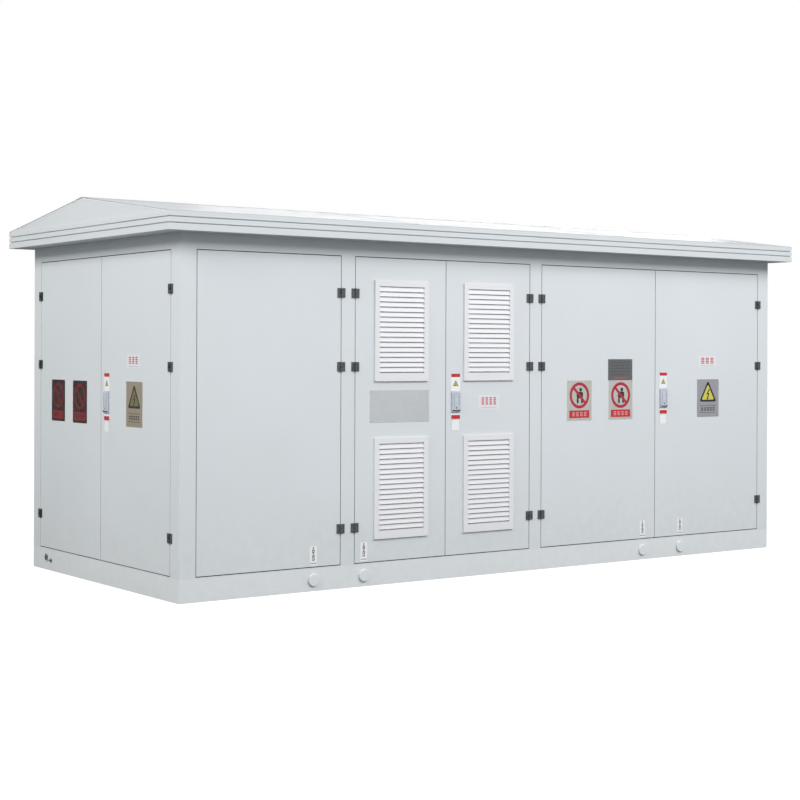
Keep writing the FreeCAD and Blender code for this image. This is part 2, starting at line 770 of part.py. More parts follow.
def hinges():
    third = "hinge_height / 6"
    half = "hinge_height / 2"
    outer_knuckles = ((f"-{half}", f"-{third} - knuckle_gap / 2"),
                      (f"{third} + knuckle_gap / 2", half))
    middle_knuckle = ((f"-{third} + knuckle_gap / 2", f"{third} - knuckle_gap / 2"),)
    frame_leaf = hinge_leaf("frame_hinge_leaf", 1, outer_knuckles)
    moving_leaf = hinge_leaf("door_hinge_leaf", -1, middle_knuckle)
    pin = cylinder("hinge_pin", "pin_radius", "hinge_height + 4", ("0", "0", f"-{half} - 2"))
    frame_side = []
    pins = []
    for label, (across, along, turn) in hinge_sites().items():
        door_side = []
        for index, height in enumerate(HINGE_HEIGHTS):
            at = (across, along, height)
            frame_side.append(copy_of(frame_leaf, f"{label}_frame_leaf_{index}", at, turn))
            door_side.append(copy_of(moving_leaf, f"{label}_moving_leaf_{index}", at, turn))
            pins.append(copy_of(pin, f"{label}_pin_{index}",
                                (across, along, f"{height} - hinge_height / 2 - 2")))
        name = f"{label}_hinges"
        node(name, group(name, door_side))
    node("frame_hinge_leaves", group("frame_hinge_leaves", frame_side))
    node("hinge_pins", group("hinge_pins", pins))


# --- rod locks --------------------------------------------------------------------------------

def lock_plate():
    """Flat housing under the handle. Own frame: spindle axis on Y, door face at Y 0."""
    low = "lock_plate_low - handle_pivot"
    high = "lock_plate_high - handle_pivot"
    half = "lock_width / 2"
    plate = block("lock_plate_blank", (f"-{half}", half), ("-lock_plate_depth", "0"), (low, high))
    bore = cylinder("lock_plate_bore", "spindle_radius + rod_clearance", "lock_plate_depth + 2",
                    ("0", "-lock_plate_depth - 1", "0"), "y")
    return cut("lock_plate", plate, [bore])


def lock_handle():
    """Swing handle with its spindle and the cam disc behind the door skin, all one piece."""
    low = "handle_top - handle_length - handle_pivot"
    high = "handle_top - handle_pivot"
    half = "handle_width / 2"
    back = "-lock_plate_depth - 0.5"
    grip = body("handle_grip")
    face = new_sketch(grip, "handle_face", "XZ", "lock_plate_depth + 0.5")
    rectangle(face, "grip", (f"-{half}", half), (low, high))
    raised = pad(grip, face, "handle_pad", "handle_depth")
    doc.recompute()
    upright = [f"Edge{number}" for number, item in enumerate(raised.Shape.Edges, start=1)
               if item.BoundBox.XLength < 0.01 and item.BoundBox.ZLength < 0.01]
    corners = grip.newObject("PartDesign::Fillet", "handle_corners")
    corners.Base = (raised, upright)
    corners.setExpression("Radius", bound("handle_corner"))
    doc.recompute()
    front = -size("lock_plate_depth") - 0.5 - size("handle_depth")
    rim = [f"Edge{number}" for number, item in enumerate(corners.Shape.Edges, start=1)
           if item.BoundBox.YLength < 0.01 and abs(item.BoundBox.YMin - front) < 0.01]
    softened = grip.newObject("PartDesign::Fillet", "handle_rim")
    softened.Base = (corners, rim)
    softened.setExpression("Radius", bound("handle_edge"))
    spindle = cylinder("handle_spindle", "spindle_radius", "lock_plate_depth + skin + 8.5",
                       ("0", back, "0"), "y")
    cam = cylinder("handle_cam", "cam_radius", "5", ("0", "skin + 3", "0"), "y")
    return fuse("lock_handle", [grip, spindle, cam])


def locks():
    """Each rod ends under the cam at one end and in its keeper at the other."""
    cam_room = "cam_radius + 20"
    foot = "door_low - rod_reach - handle_pivot"
    upper = cylinder("upper_lock_rod", "rod_radius",
                     f"door_high + rod_reach - handle_pivot - ({cam_room})",
                     ("0", "rod_depth", cam_room))
    lower = cylinder("lower_lock_rod", "rod_radius", f"-({cam_room}) - ({foot})",
                     ("0", "rod_depth", foot))
    front = f"-{FRONT}"
    sites = {
        "transformer_lock": (f"{SPLIT_TWO} + door_gap / 2 + lock_inset", front, Rotation()),
        "lv_lock": (f"{SPLIT_THREE} + door_gap / 2 + lock_inset", front, Rotation()),
        "hv_lock": (f"-{HALF_LENGTH}", "-door_gap / 2 - lock_inset", LEFT_END),
    }
    origin = ("0", "0", "0")
    pieces = {
        "plate": (lock_plate(), origin),
        "handle": (lock_handle(), origin),
        "upper_rod": (upper, ("0", "rod_depth", cam_room)),
        "lower_rod": (lower, ("0", "rod_depth", foot)),
    }
    for label, (across, along, turn) in sites.items():
        for part, (source, at) in pieces.items():
            name = f"{label}_{part}"
            holder = group(name, [copy_of(source, f"{name}_copy", at)])
            node(name, place(holder, (across, along, "handle_pivot"), turn))


# --- roof -------------------------------------------------------------------------------------

EAVE = "(body_width / 2 + eave_overhang)"
GABLE = "(body_length / 2 + end_overhang)"


def ring(name, reach, depth, low, high):
    """Square ring whose outer faces stand in from the eaves by `reach`, `depth` thick."""
    outside = block(f"{name}_outside", (f"-{GABLE} + {reach}", f"{GABLE} - ({reach})"),
                    (f"-{EAVE} + {reach}", f"{EAVE} - ({reach})"), (low, high))
    inner = f"({reach} + {depth})"
    inside = block(f"{name}_inside", (f"-{GABLE} + {inner}", f"{GABLE} - {inner}"),
                   (f"-{EAVE} + {inner}", f"{EAVE} - {inner}"), (f"{low} - 1", f"{high} + 1"))
    return cut(name, outside, [inside])


def eaves_fascia():
    """Grooved fascia all round, folded under to make the soffit."""
    band = ring("fascia_band", "0", "fascia_thickness", "wall_top", "fascia_top")
    soffit = block("soffit_outside", (f"-{GABLE} + 1", f"{GABLE} - 1"),
                   (f"-{EAVE} + 1", f"{EAVE} - 1"), ("wall_top", "wall_top + skin"))
    room = block("soffit_inside", (f"-{HALF_LENGTH}", HALF_LENGTH),
                 (f"-{FRONT}", FRONT), ("wall_top - 1", "wall_top + skin + 1"))
    fold = cut("soffit_fold", soffit, [room])
    grooves = [ring(f"groove_{low}", "-1", "groove_depth + 1", low, f"{low} + groove_height")
               for low in ("lower_groove", "upper_groove")]
    node("eaves_fascia", cut("eaves_fascia", fuse("fascia_blank", [band, fold]), grooves))


def roof_sheets():
    """Three sheets on each slope."""
    sheet_body = body("roof_slope")
    section = new_sketch(sheet_body, "roof_section", "YZ")
    outline(section, "slope", [
        (f"-{EAVE}", "fascia_top"), ("-sheet_joint / 2", "fascia_top + ridge_rise"),
        ("-sheet_joint / 2", "fascia_top + ridge_rise + roof_sheet"),
        (f"-{EAVE}", "fascia_top + roof_sheet")])
    width = f"(2 * {GABLE} - 2 * sheet_joint) / 3"
    pad(sheet_body, section, "roof_pad", width, middle=True)
    pieces = []
    for side, turn in (("front", Rotation()), ("rear", HALF_TURN)):
        for index, step in enumerate(("-1", "0", "1")):
            across = f"{step} * ({width} + sheet_joint)"
            pieces.append(copy_of(sheet_body, f"{side}_roof_sheet_{index}", (across, "0", "0"), turn))
    node("roof_sheets", group("roof_sheets", pieces))


def ridge_cap():
    cap = body("ridge_cap_body")
    section = new_sketch(cap, "ridge_cap_section", "YZ")
    crown = "fascia_top + ridge_rise + roof_sheet + ridge_cap_gap"
    edge = f"{crown} - ridge_rise * ridge_cap_half / {EAVE}"
    outline(section, "cap", [
        ("-ridge_cap_half", edge), ("0", crown), ("ridge_cap_half", edge),
        ("ridge_cap_half", f"{edge} + ridge_cap_sheet"), ("0", f"{crown} + ridge_cap_sheet"),
        ("-ridge_cap_half", f"{edge} + ridge_cap_sheet")])
    pad(cap, section, "ridge_cap_pad", f"2 * {GABLE}", middle=True)
    node("ridge_cap", group("ridge_cap", [cap]))


def gable_panels():
    """Triangle that closes each end, a little behind the face of the fascia."""
    panel = body("gable_panel")
    section = new_sketch(panel, "gable_outline", "YZ", f"-{GABLE} + gable_inset")
    outline(section, "gable", [(f"-{EAVE} + 2", "fascia_top"), (f"{EAVE} - 2", "fascia_top"),
                               ("0", "fascia_top + ridge_rise - 1")])
    pad(panel, section, "gable_pad", "skin")
    pieces = [panel, copy_of(panel, "right_gable", ("0", "0", "0"), HALF_TURN)]
    node("gable_panels", group("gable_panels", pieces))


def roof_trusses():
    truss = body("roof_truss")
    section = new_sketch(truss, "truss_outline", "YZ")
    foot = "wall_top + skin + 2"
    shoulder = "fascia_top + 16"
    peak = "fascia_top + ridge_rise - 8"
    half = f"({FRONT} - truss_inset)"
    outline(section, "outer", [(f"-{half}", foot), (half, foot), (half, shoulder),
                               ("0", peak), (f"-{half}", shoulder)])
    inner = f"({half} - 1.4 * truss_section)"
    inner_foot = f"{foot} + truss_section"
    inner_shoulder = f"{shoulder} - 0.8 * truss_section"
    outline(section, "inner", [(f"-{inner}", inner_foot), (inner, inner_foot),
                               (inner, inner_shoulder), ("0", f"{peak} - truss_section"),
                               (f"-{inner}", inner_shoulder)])
    pad(truss, section, "truss_pad", "truss_width", middle=True)
    pieces = [copy_of(truss, f"truss_{index}", (across, "0", "0"))
              for index, across in enumerate(post_middles())]
    node("roof_trusses", group("roof_trusses", pieces))


# --- transformer ------------------------------------------------------------------------------

def transformer_tank():
    """Corrugated tank on skids, open at the top."""
    tank = body("tank_body")
    plan = new_sketch(tank, "tank_plan", "XY", "tank_low")
    rectangle(plan, "tank", ("-tank_length / 2", "tank_length / 2"),
              ("-tank_width / 2", "tank_width / 2"))
    pad(tank, plan, "tank_pad", "tank_height")
    fin_up = ("tank_low + (tank_height - fin_height) / 2",
              "tank_low + (tank_height + fin_height) / 2")
    reach = "(tank_width / 2 + fin_reach)"
    fin = new_sketch(tank, "fin_side", "YZ", "-fin_pitch * (fin_count - 1) / 2")
    rectangle(fin, "fin", (f"-{reach}", reach), fin_up)
    fin_pad = pad(tank, fin, "fin_pad", "fin_thickness", middle=True)
    doc.recompute()
    row_of(tank, fin_pad, "fin_row", "X", "fin_pitch", "fin_count")
    end_reach = "(tank_length / 2 + end_fin_reach)"
    end_fin = new_sketch(tank, "end_fin_side", "XZ", "fin_pitch * (end_fin_count - 1) / 2")
    rectangle(end_fin, "fin", (f"-{end_reach}", end_reach), fin_up)
    end_pad = pad(tank, end_fin, "end_fin_pad", "fin_thickness", middle=True)
    doc.recompute()
    row_of(tank, end_pad, "end_fin_row", "Y", "fin_pitch", "end_fin_count")
    hollow = new_sketch(tank, "tank_hollow", "XY", "tank_low + tank_wall")
    inner_length = "tank_length / 2 - tank_wall"
    inner_width = "tank_width / 2 - tank_wall"
    rectangle(hollow, "hollow", (f"-({inner_length})", inner_length),
              (f"-({inner_width})", inner_width))
    emptied = pocket(tank, hollow, "tank_pocket", "tank_height + 1", reverse=True)
    doc.recompute()
    tank.Tip = emptied
    skids = []
    for side, middle in (("left", "-limb_pitch"), ("right", "limb_pitch")):
        skids.append(block(f"skid_{side}",
                           (f"{middle} - skid_width / 2", f"{middle} + skid_width / 2"),
                           ("-skid_length / 2", "skid_length / 2"),
                           ("base_height + floor_thickness", "tank_low")))
    whole = fuse("transformer_tank", [tank] + skids)
    node("transformer_tank", place(whole, ("transformer_x", "0", "0")))


HV_BUSHINGS = [f"{step} * hv_bushing_pitch" for step in (-1, 0, 1)]
LV_BUSHINGS = [f"{step} * lv_bushing_pitch" for step in (-1.5, -0.5, 0.5, 1.5)]
BUSHING_ROWS = (("hv", HV_BUSHINGS, "bushing_row"), ("lv", LV_BUSHINGS, "-bushing_row"))


def tank_cover():
    low = "tank_low + tank_height"
    high = f"{low} + cover_thickness"
    plate = block("cover_plate",
                  ("-tank_length / 2 - cover_rim", "tank_length / 2 + cover_rim"),
                  ("-tank_width / 2 - cover_rim", "tank_width / 2 + cover_rim"), (low, high))
    drills = []
    for kind, row, side in BUSHING_ROWS:
        for index, across in enumerate(row):
            drills.append(cylinder(f"{kind}_bushing_hole_{index}", "bushing_radius + 1",
                                   "cover_thickness + 2", (across, side, f"{low} - 1")))
    drills.append(cylinder("tap_hole", "lever_radius + pin_clearance", "cover_thickness + 2",
                           ("tap_offset", "0", f"{low} - 1")))
    cover = cut("tank_cover", plate, drills)
    node("tank_cover", place(cover, ("transformer_x", "0", "0")))


def iron_core():
    core = body("core_body")
    face = new_sketch(core, "core_face", "XZ")
    half = "limb_pitch + core_section / 2"
    foot = "tank_low + tank_wall"
    rectangle(face, "core", (f"-({half})", half), (foot, f"{foot} + core_height"))
    window_up = (f"{foot} + core_section", f"{foot} + core_height - core_section")
    near = "core_section / 2"
    far = "limb_pitch - core_section / 2"
    rectangle(face, "left", (f"-({far})", f"-{near}"), window_up)
    rectangle(face, "right", (near, far), window_up)
    pad(core, face, "core_pad", "core_section", middle=True)
    holder = group("iron_core", [core])
    node("iron_core", place(holder, ("transformer_x", "0", "0")))


def windings():
    low = "tank_low + tank_wall + core_height / 2 - coil_height / 2"
    pieces = []
    for index, across in enumerate(("-limb_pitch", "0", "limb_pitch")):
        outside = cylinder(f"coil_outside_{index}", "coil_outer", "coil_height", (across, "0", low))
        inside = cylinder(f"coil_inside_{index}", "coil_inner", "coil_height", (across, "0", low))
        pieces.append(cut(f"coil_{index}", outside, [inside]))
    node("windings", place(group("windings", pieces), ("transformer_x", "0", "0")))


def bushing(name, height, sheds):
    """Porcelain insulator with sloping sheds and a terminal on top, foot at Z 0."""
    pieces = [
        cylinder(f"{name}_stem", "bushing_radius", f"{height} + bushing_foot",
                 ("0", "0", "-bushing_foot")),
        cylinder(f"{name}_flange", "bushing_radius + 18", "bushing_flange", ("0", "0", "0")),
        cylinder(f"{name}_terminal", "lever_radius", "terminal_length", ("0", "0", height)),
    ]
    for index in range(sheds):
        shed = doc.addObject("Part::Cone", f"{name}_shed_{index}")
        shed.setExpression("Radius1", bound("bushing_radius + 22"))
        shed.setExpression("Radius2", bound("bushing_radius"))
        shed.Height = 22
        share = f"({index} + 1) / ({sheds} + 1)"
        middle = f"bushing_flange + ({height} - bushing_flange) * {share}"
        pieces.append(place(shed, ("0", "0", f"{middle} - 11")))
    return fuse(name, pieces)


def bushings():
    top = "tank_low + tank_height + cover_thickness"
    sources = {
        "hv": bushing("hv_bushing", "hv_bushing_height", 6),
        "lv": bushing("lv_bushing", "lv_bushing_height", 2),
    }
    pieces = []
    for kind, row, side in BUSHING_ROWS:
        for index, across in enumerate(row):
            pieces.append(copy_of(sources[kind], f"{kind}_bushing_{index}", (across, side, top)))
    node("bushings", place(group("bushings", pieces), ("transformer_x", "0", "0")))


def tap_changer_handle():
    """Off-load tap changer: shaft through the cover with a cross handle."""
    top = "tank_low + tank_height + cover_thickness"
    pieces = [
        cylinder("tap_shaft", "lever_radius", "cover_thickness + 90",
                 ("0", "0", f"{top} - cover_thickness - 30")),
        cylinder("tap_hub", "28", "18", ("0", "0", f"{top} + 40")),
        block("tap_bar", ("-75", "75"), ("-9", "9"), (f"{top} + 44", f"{top} + 54")),
    ]
    handle = fuse("tap_changer_handle", pieces)
    node("tap_changer_handle", place(handle, ("transformer_x + tap_offset", "0", "0")))


# --- switchgear -------------------------------------------------------------------------------

def hollow_box(name, across, along, up, wall):
    outside = block(f"{name}_outside", across, along, up)
    inside = block(f"{name}_inside",
                   (f"{across[0]} + {wall}", f"{across[1]} - {wall}"),
                   (f"{along[0]} + {wall}", f"{along[1]} - {wall}"),
                   (f"{up[0]} + {wall}", f"{up[1]} - {wall}"))
    return outside, inside


FLOOR = "base_height + floor_thickness"
LEVER_Z = f"{FLOOR} + switch_height"
BREAKER_X = "board_left + 1.5 * board_bay"
BREAKER_Z = f"{FLOOR} + breaker_centre"


def ring_main_unit():
    """Row of high-voltage cubicles that faces the end doors."""
    front = "-cubicle_front"
    across = (front, f"{front} + cubicle_depth")
    up = (FLOOR, f"{FLOOR} + cubicle_height")
    pieces = []
    for index, step in enumerate(("-1.5", "-0.5", "0.5")):
        low = f"{step} * cubicle_width"
        along = (f"{low} + 1", f"{low} + cubicle_width - 1")
        outside, inside = hollow_box(f"cubicle_{index}", across, along, up, "sheet_wall")
        cable = block(f"cubicle_{index}_cable_way",
                      (f"{front} + cubicle_depth / 2 - hv_cable_slot / 2",
                       f"{front} + cubicle_depth / 2 + hv_cable_slot / 2"),
                      (f"{along[0]} + 20", f"{along[1]} - 20"), (f"{FLOOR} - 1", f"{FLOOR} + 10"))
        tools = [inside, cable]
        if index == 1:
            tools.append(cylinder("lever_bore", "lever_radius + pin_clearance", "sheet_wall + 2",
                                  (f"{front} - 1", "0", LEVER_Z), "x"))
        pieces.append(cut(f"cubicle_{index}", outside, tools))
    node("ring_main_unit", group("ring_main_unit", pieces))


def hv_switch_lever():
    """Load-break switch lever on the middle cubicle, hanging down at rest."""
    pieces = [
        cylinder("switch_shaft", "lever_radius", "90", ("-35", "0", "0"), "x"),
        cylinder("switch_hub", "26", "22", ("-35", "0", "0"), "x"),
        block("switch_bar", ("-35", "-21"), ("-12", "12"), ("-240", "0")),
        cylinder("switch_grip", "13", "66", ("-30", "0", "-225"), "-x"),
    ]
    lever = fuse("hv_switch_lever", pieces)
    node("hv_switch_lever", place(lever, ("-cubicle_front", "0", LEVER_Z)))


def lv_switchboard():
    """Low-voltage board behind the right-hand doors, with the main breaker's raised front."""
    front = "-board_front"
    along = (front, f"{front} + board_depth")
    up = (FLOOR, f"{FLOOR} + board_height")
    pieces = []
    for index in range(3):
        left = f"board_left + {index} * board_bay"
        across = (f"{left} + 1", f"{left} + board_bay - 1")
        outside, inside = hollow_box(f"board_{index}", across, along, up, "sheet_wall")
        tools = [inside]
        cable = block(f"board_{index}_cable_way",
                      (f"{across[0]} + 40", f"{across[1]} - 40"),
                      (f"{front} + board_depth / 2 - lv_cable_slot / 2",
                       f"{front} + board_depth / 2 + lv_cable_slot / 2"),
                      (f"{FLOOR} - 1", f"{FLOOR} + 10"))
        tools.append(cable)
        if index == 1:
            tools.append(cylinder("breaker_bore", "lever_radius + pin_clearance", "20",
                                  (BREAKER_X, f"{front} - 5", BREAKER_Z), "y"))
        pieces.append(cut(f"board_{index}", outside, tools))
    breaker = block("breaker_front",
                    (f"{BREAKER_X} - breaker_width / 2", f"{BREAKER_X} + breaker_width / 2"),
                    (f"{front} - breaker_depth", front),
                    (f"{BREAKER_Z} - breaker_height / 2", f"{BREAKER_Z} + breaker_height / 2"))
    bore = cylinder("breaker_front_bore", "lever_radius + pin_clearance", "breaker_depth + 2",
                    (BREAKER_X, f"{front} - breaker_depth - 1", BREAKER_Z), "y")
    pieces.append(cut("main_breaker", breaker, [bore]))
    node("lv_switchboard", group("lv_switchboard", pieces))


def breaker_lever():
    """Rotary handle of the main breaker, upright when off."""
    pieces = [
        cylinder("breaker_shaft", "lever_radius", "breaker_depth + 50", ("0", "-30", "0"), "y"),
        cylinder("breaker_hub", "34", "20", ("0", "-34", "0"), "y"),
        block("breaker_bar", ("-13", "13"), ("-48", "-26"), ("-30", "120")),
    ]
    lever = fuse("breaker_lever", pieces)
    at = (BREAKER_X, "-board_front - breaker_depth", BREAKER_Z)
    node("breaker_lever", place(lever, at))


# --- fasteners --------------------------------------------------------------------------------

def earth_terminals():
    """Two studs with nuts on the left of the base, the first holding an upright lug."""
    pieces = []
    sites = (("earth_lug", "earth_lug_y", "earth_lug_z"), ("earth_nut", "earth_nut_y", "earth_nut_z"))
    for name, along, height in sites:
        at = (f"-{HALF_LENGTH}", along, height)
        stud = cylinder(f"{name}_stud", "stud_radius", "stud_length", at, "-x")
        nut = cylinder(f"{name}_nut", "2 * stud_radius", "10", at, "-x")
        parts = [stud, nut]
        if name == "earth_lug":
            parts.append(block("earth_lug_plate", (f"-{HALF_LENGTH} - 14", f"-{HALF_LENGTH} - 10"),
                               (f"{along} - 12", f"{along} + 12"),
                               (f"{height} - 24", f"{height} + 24")))
        pieces.append(fuse(name, parts))
    return pieces


def fasteners():
    """Panel screws on the rear and right end, and the earth terminals."""
    head = cylinder("screw_head", "bolt_radius", "bolt_head", ("0", "0", "0"), "y")
    pieces = []
    heights = {"low": "door_low + screw_end", "middle": "(door_low + door_high) / 2",
               "high": "door_high - screw_end"}
    edges = {"hv": (BAY_ONE_LEFT, BAY_ONE_RIGHT), "louvred_a": (BAY_TWO_LEFT, SPLIT_TWO),
             "louvred_b": (SPLIT_TWO, BAY_TWO_RIGHT), "lv_a": (BAY_THREE_LEFT, SPLIT_THREE),
             "lv_b": (SPLIT_THREE, BAY_THREE_RIGHT)}
    for panel, (left, right) in edges.items():
        lines = {"left": f"{left} + screw_inset", "right": f"{right} - screw_inset"}
        for side, across in lines.items():
            for row, height in heights.items():
                pieces.append(copy_of(head, f"{panel}_{side}_screw_{row}",
                                      (across, FRONT, height), DIRECTIONS["y"]))
    half_end = f"({END_OPENING}) / 2"
    end_lines = {"end_front_outer": f"-{half_end} + screw_inset", "end_front_inner": "-screw_inset",
                 "end_rear_inner": "screw_inset", "end_rear_outer": f"{half_end} - screw_inset"}
    for line, along in end_lines.items():
        for row, height in heights.items():
            pieces.append(copy_of(head, f"{line}_screw_{row}", (HALF_LENGTH, along, height),
                                  DIRECTIONS["x"]))
    node("fasteners", group("fasteners", pieces + earth_terminals()))


def check_and_write():
    """Stop on any failed object, then write each sub-part."""
    doc.recompute()
    for thing in doc.Objects:
        if "Invalid" in thing.State or "Error" in thing.State:
            raise RuntimeError(f"{thing.Name} failed: {thing.State}")
    os.makedirs("parts", exist_ok=True)
    for thing in nodes:
        shape = thing.Shape
        if shape.isNull() or not shape.isValid() or not shape.Solids:
            raise RuntimeError(f"{thing.Label} has no valid shape")
        shape.exportStep(os.path.join("parts", f"{thing.Label}.step"))


base_frame()
lifting_shafts()
floor_plates()
wall_frame()
partition_walls()
doors()
fixed_panels()
louvres()
hinges()
locks()
eaves_fascia()
roof_sheets()
ridge_cap()
gable_panels()
roof_trusses()
transformer_tank()
tank_cover()
iron_core()
windings()
bushings()
tap_changer_handle()
ring_main_unit()
hv_switch_lever()
lv_switchboard()
breaker_lever()
fasteners()
check_and_write()
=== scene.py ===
import json
import math

import bmesh
import bpy
from mathutils import Matrix, Vector


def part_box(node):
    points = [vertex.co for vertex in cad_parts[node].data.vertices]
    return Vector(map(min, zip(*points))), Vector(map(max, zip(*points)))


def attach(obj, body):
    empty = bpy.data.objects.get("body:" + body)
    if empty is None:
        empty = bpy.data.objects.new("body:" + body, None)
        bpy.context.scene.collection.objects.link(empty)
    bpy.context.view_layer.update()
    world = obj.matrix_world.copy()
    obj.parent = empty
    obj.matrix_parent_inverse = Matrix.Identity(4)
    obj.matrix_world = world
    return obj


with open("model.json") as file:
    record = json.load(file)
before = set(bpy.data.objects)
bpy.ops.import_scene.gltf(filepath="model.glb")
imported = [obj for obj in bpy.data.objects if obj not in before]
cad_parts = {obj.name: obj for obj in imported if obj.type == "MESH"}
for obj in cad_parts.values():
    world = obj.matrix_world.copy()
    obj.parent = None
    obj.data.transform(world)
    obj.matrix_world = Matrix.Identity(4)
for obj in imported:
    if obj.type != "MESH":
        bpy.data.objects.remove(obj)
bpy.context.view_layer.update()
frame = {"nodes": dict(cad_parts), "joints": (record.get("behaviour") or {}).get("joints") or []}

# Looks of the box substation. Metres, in the CAD frame: +X along the front, -Y out of it, +Z up.

nodes = frame["nodes"]


# --- places read from the frame --------------------

LEFT_X, FRONT_Y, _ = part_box("wall_frame")[0]
RIGHT_X, REAR_Y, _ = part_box("wall_frame")[1]
DOOR_LOW, DOOR_HIGH = (corner.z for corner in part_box("hv_side_door"))


def middle(node):
    low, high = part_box(node)
    return (low + high) / 2


def joint_place(name):
    return Vector(next(joint["pos_m"] for joint in frame["joints"] if joint["name"] == name))


# --- node material kit --------------------

class Graph:
    """Small helper around one material's node tree."""

    def __init__(self, name):
        self.material = bpy.data.materials.new(name)
        self.material.use_nodes = True
        self.tree = self.material.node_tree
        self.shader = self.tree.nodes["Principled BSDF"]

    def add(self, kind, **values):
        node = self.tree.nodes.new(kind)
        for key, value in values.items():
            if hasattr(node, key):
                setattr(node, key, value)
            else:
                node.inputs[key.replace("_", " ")].default_value = value
        return node

    def link(self, source, target):
        self.tree.links.new(source, target)

    def feed(self, socket, value):
        """Link an output to an input, or set the input to a number or a colour."""
        if isinstance(value, bpy.types.NodeSocket):
            self.link(value, socket)
        else:
            socket.default_value = (*value, 1.0) if isinstance(value, tuple) else value

    def set(self, **values):
        for key, value in values.items():
            self.shader.inputs[key.replace("_", " ")].default_value = value

    def coordinates(self, stretch=(1, 1, 1)):
        """Object coordinates, so the pattern stays on a piece that moves."""
        source = self.add("ShaderNodeTexCoord")
        mapping = self.add("ShaderNodeMapping", Scale=stretch)
        self.link(source.outputs["Object"], mapping.inputs["Vector"])
        return mapping.outputs["Vector"]

    def noise(self, scale, detail=3.0, rough=0.55, stretch=(1, 1, 1)):
        texture = self.add("ShaderNodeTexNoise", Scale=scale, Detail=detail, Roughness=rough)
        self.link(self.coordinates(stretch), texture.inputs["Vector"])
        return texture.outputs["Fac"]

    def ramp(self, source, low, high, start=0.0, end=1.0):
        """Map a value from low..high to start..end, clamped."""
        node = self.add("ShaderNodeMapRange", From_Min=low, From_Max=high, To_Min=start, To_Max=end)
        self.link(source, node.inputs["Value"])
        return node.outputs["Result"]

    def math(self, operation, first, second):
        node = self.add("ShaderNodeMath", operation=operation)
        self.feed(node.inputs[0], first)
        self.feed(node.inputs[1], second)
        return node.outputs[0]

    def mix(self, factor, first, second):
        node = self.add("ShaderNodeMix", data_type="RGBA")
        for slot, value in ((0, factor), (6, first), (7, second)):
            self.feed(node.inputs[slot], value)
        return node.outputs[2]

    def cloud(self, noise, *limits):
        """Noise mapped through ramp's limits."""
        return self.ramp(self.noise(*noise), *limits)

    def split(self, source):
        """The components of a vector output, by axis."""
        node = self.add("ShaderNodeSeparateXYZ")
        self.link(source, node.inputs[0])
        return node.outputs

    def height(self):
        return self.split(self.add("ShaderNodeTexCoord").outputs["Object"])["Z"]

    def upward(self):
        """How far the surface faces up, from -1 to 1."""
        return self.split(self.add("ShaderNodeNewGeometry").outputs["Normal"])["Z"]

    def edges(self, radius):
        """About 1 on convex edges of that radius and 0 on flat faces."""
        bevel = self.add("ShaderNodeBevel", samples=4, Radius=radius)
        plain = self.add("ShaderNodeNewGeometry")
        dot = self.add("ShaderNodeVectorMath", operation="DOT_PRODUCT")
        self.link(bevel.outputs["Normal"], dot.inputs[0])
        self.link(plain.outputs["Normal"], dot.inputs[1])
        return self.ramp(dot.outputs["Value"], 0.99, 0.80)

    def wear_and_highlight_edges(self, tone, radius, amount, bare):
        """Blend towards a lighter tone along the edges: partly wear, partly a painted edge highlight."""
        return self.mix(self.math("MULTIPLY", self.edges(radius), amount), tone, bare)

    def bump(self, source, distance, strength=1.0, under=None):
        node = self.add("ShaderNodeBump", Strength=strength, Distance=distance)
        self.link(source, node.inputs["Height"])
        if under is not None:
            self.link(under, node.inputs["Normal"])
        return node.outputs["Normal"]

    def finish(self, color=None, roughness=None, normal=None, metallic=None):
        values = {"Base Color": color, "Roughness": roughness, "Normal": normal, "Metallic": metallic}
        for name, value in values.items():
            if value is not None:
                self.feed(self.shader.inputs[name], value)
        return self.material


def shade(color, amount):
    return tuple(max(0.0, channel * amount) for channel in color)


def powder_coat(name, color, roughness=0.42, grime=0.35, peel=0.00012, upward_shade=0.0):
    """Sprayed sheet: faint cloudiness, rain streaks, dust near the ground, painted shade on up-facing
    faces, and edges lightened by wear and by a painted highlight.
    """
    graph = Graph(name)
    cloud = graph.cloud((0.9, 4), 0.3, 0.7)
    tone = graph.mix(cloud, shade(color, 0.975), shade(color, 1.015))
    streak = graph.cloud((9, 5, 0.6, (1, 1, 0.05)), 0.55, 0.8, 0, 0.10)
    tone = graph.mix(streak, tone, shade(color, 0.86))
    low = graph.ramp(graph.height(), 0.75, 0.02)
    splash = graph.math("MULTIPLY", low, graph.cloud((14, 6, 0.65), 0.36, 0.75))
    dust = tuple(channel * warm for channel, warm in zip(color, (0.80, 0.765, 0.70)))
    tone = graph.mix(graph.math("MULTIPLY", splash, grime), tone, dust)
    # Painted shade: up-facing faces, such as the louvre slats, are darkened towards half the colour.
    if upward_shade:
        ledge_shade = graph.ramp(graph.upward(), 0.1, 0.6, 0, upward_shade)
        tone = graph.mix(ledge_shade, tone, shade(color, 0.5))
    # Edges lightened: partly worn paint, partly a painted highlight.
    tone = graph.wear_and_highlight_edges(tone, 0.0025, 0.35, shade(color, 1.10))
    speck = graph.cloud((160, 2), 0.70, 0.78, 0, 0.10)
    tone = graph.mix(speck, tone, shade(color, 0.72))
    rough = graph.cloud((5, 5), 0.3, 0.7, roughness - 0.05, roughness + 0.07)
    dull = graph.math("ADD", rough, graph.math("MULTIPLY", splash, 0.25))
    wave = graph.bump(graph.noise(1.6, 2), 0.004, 0.25)
    skin = graph.bump(graph.noise(420, 2), peel, 0.6, wave)
    graph.set(IOR=1.48, Coat_Weight=0.08, Coat_Roughness=0.35)
    return graph.finish(tone, dull, skin)


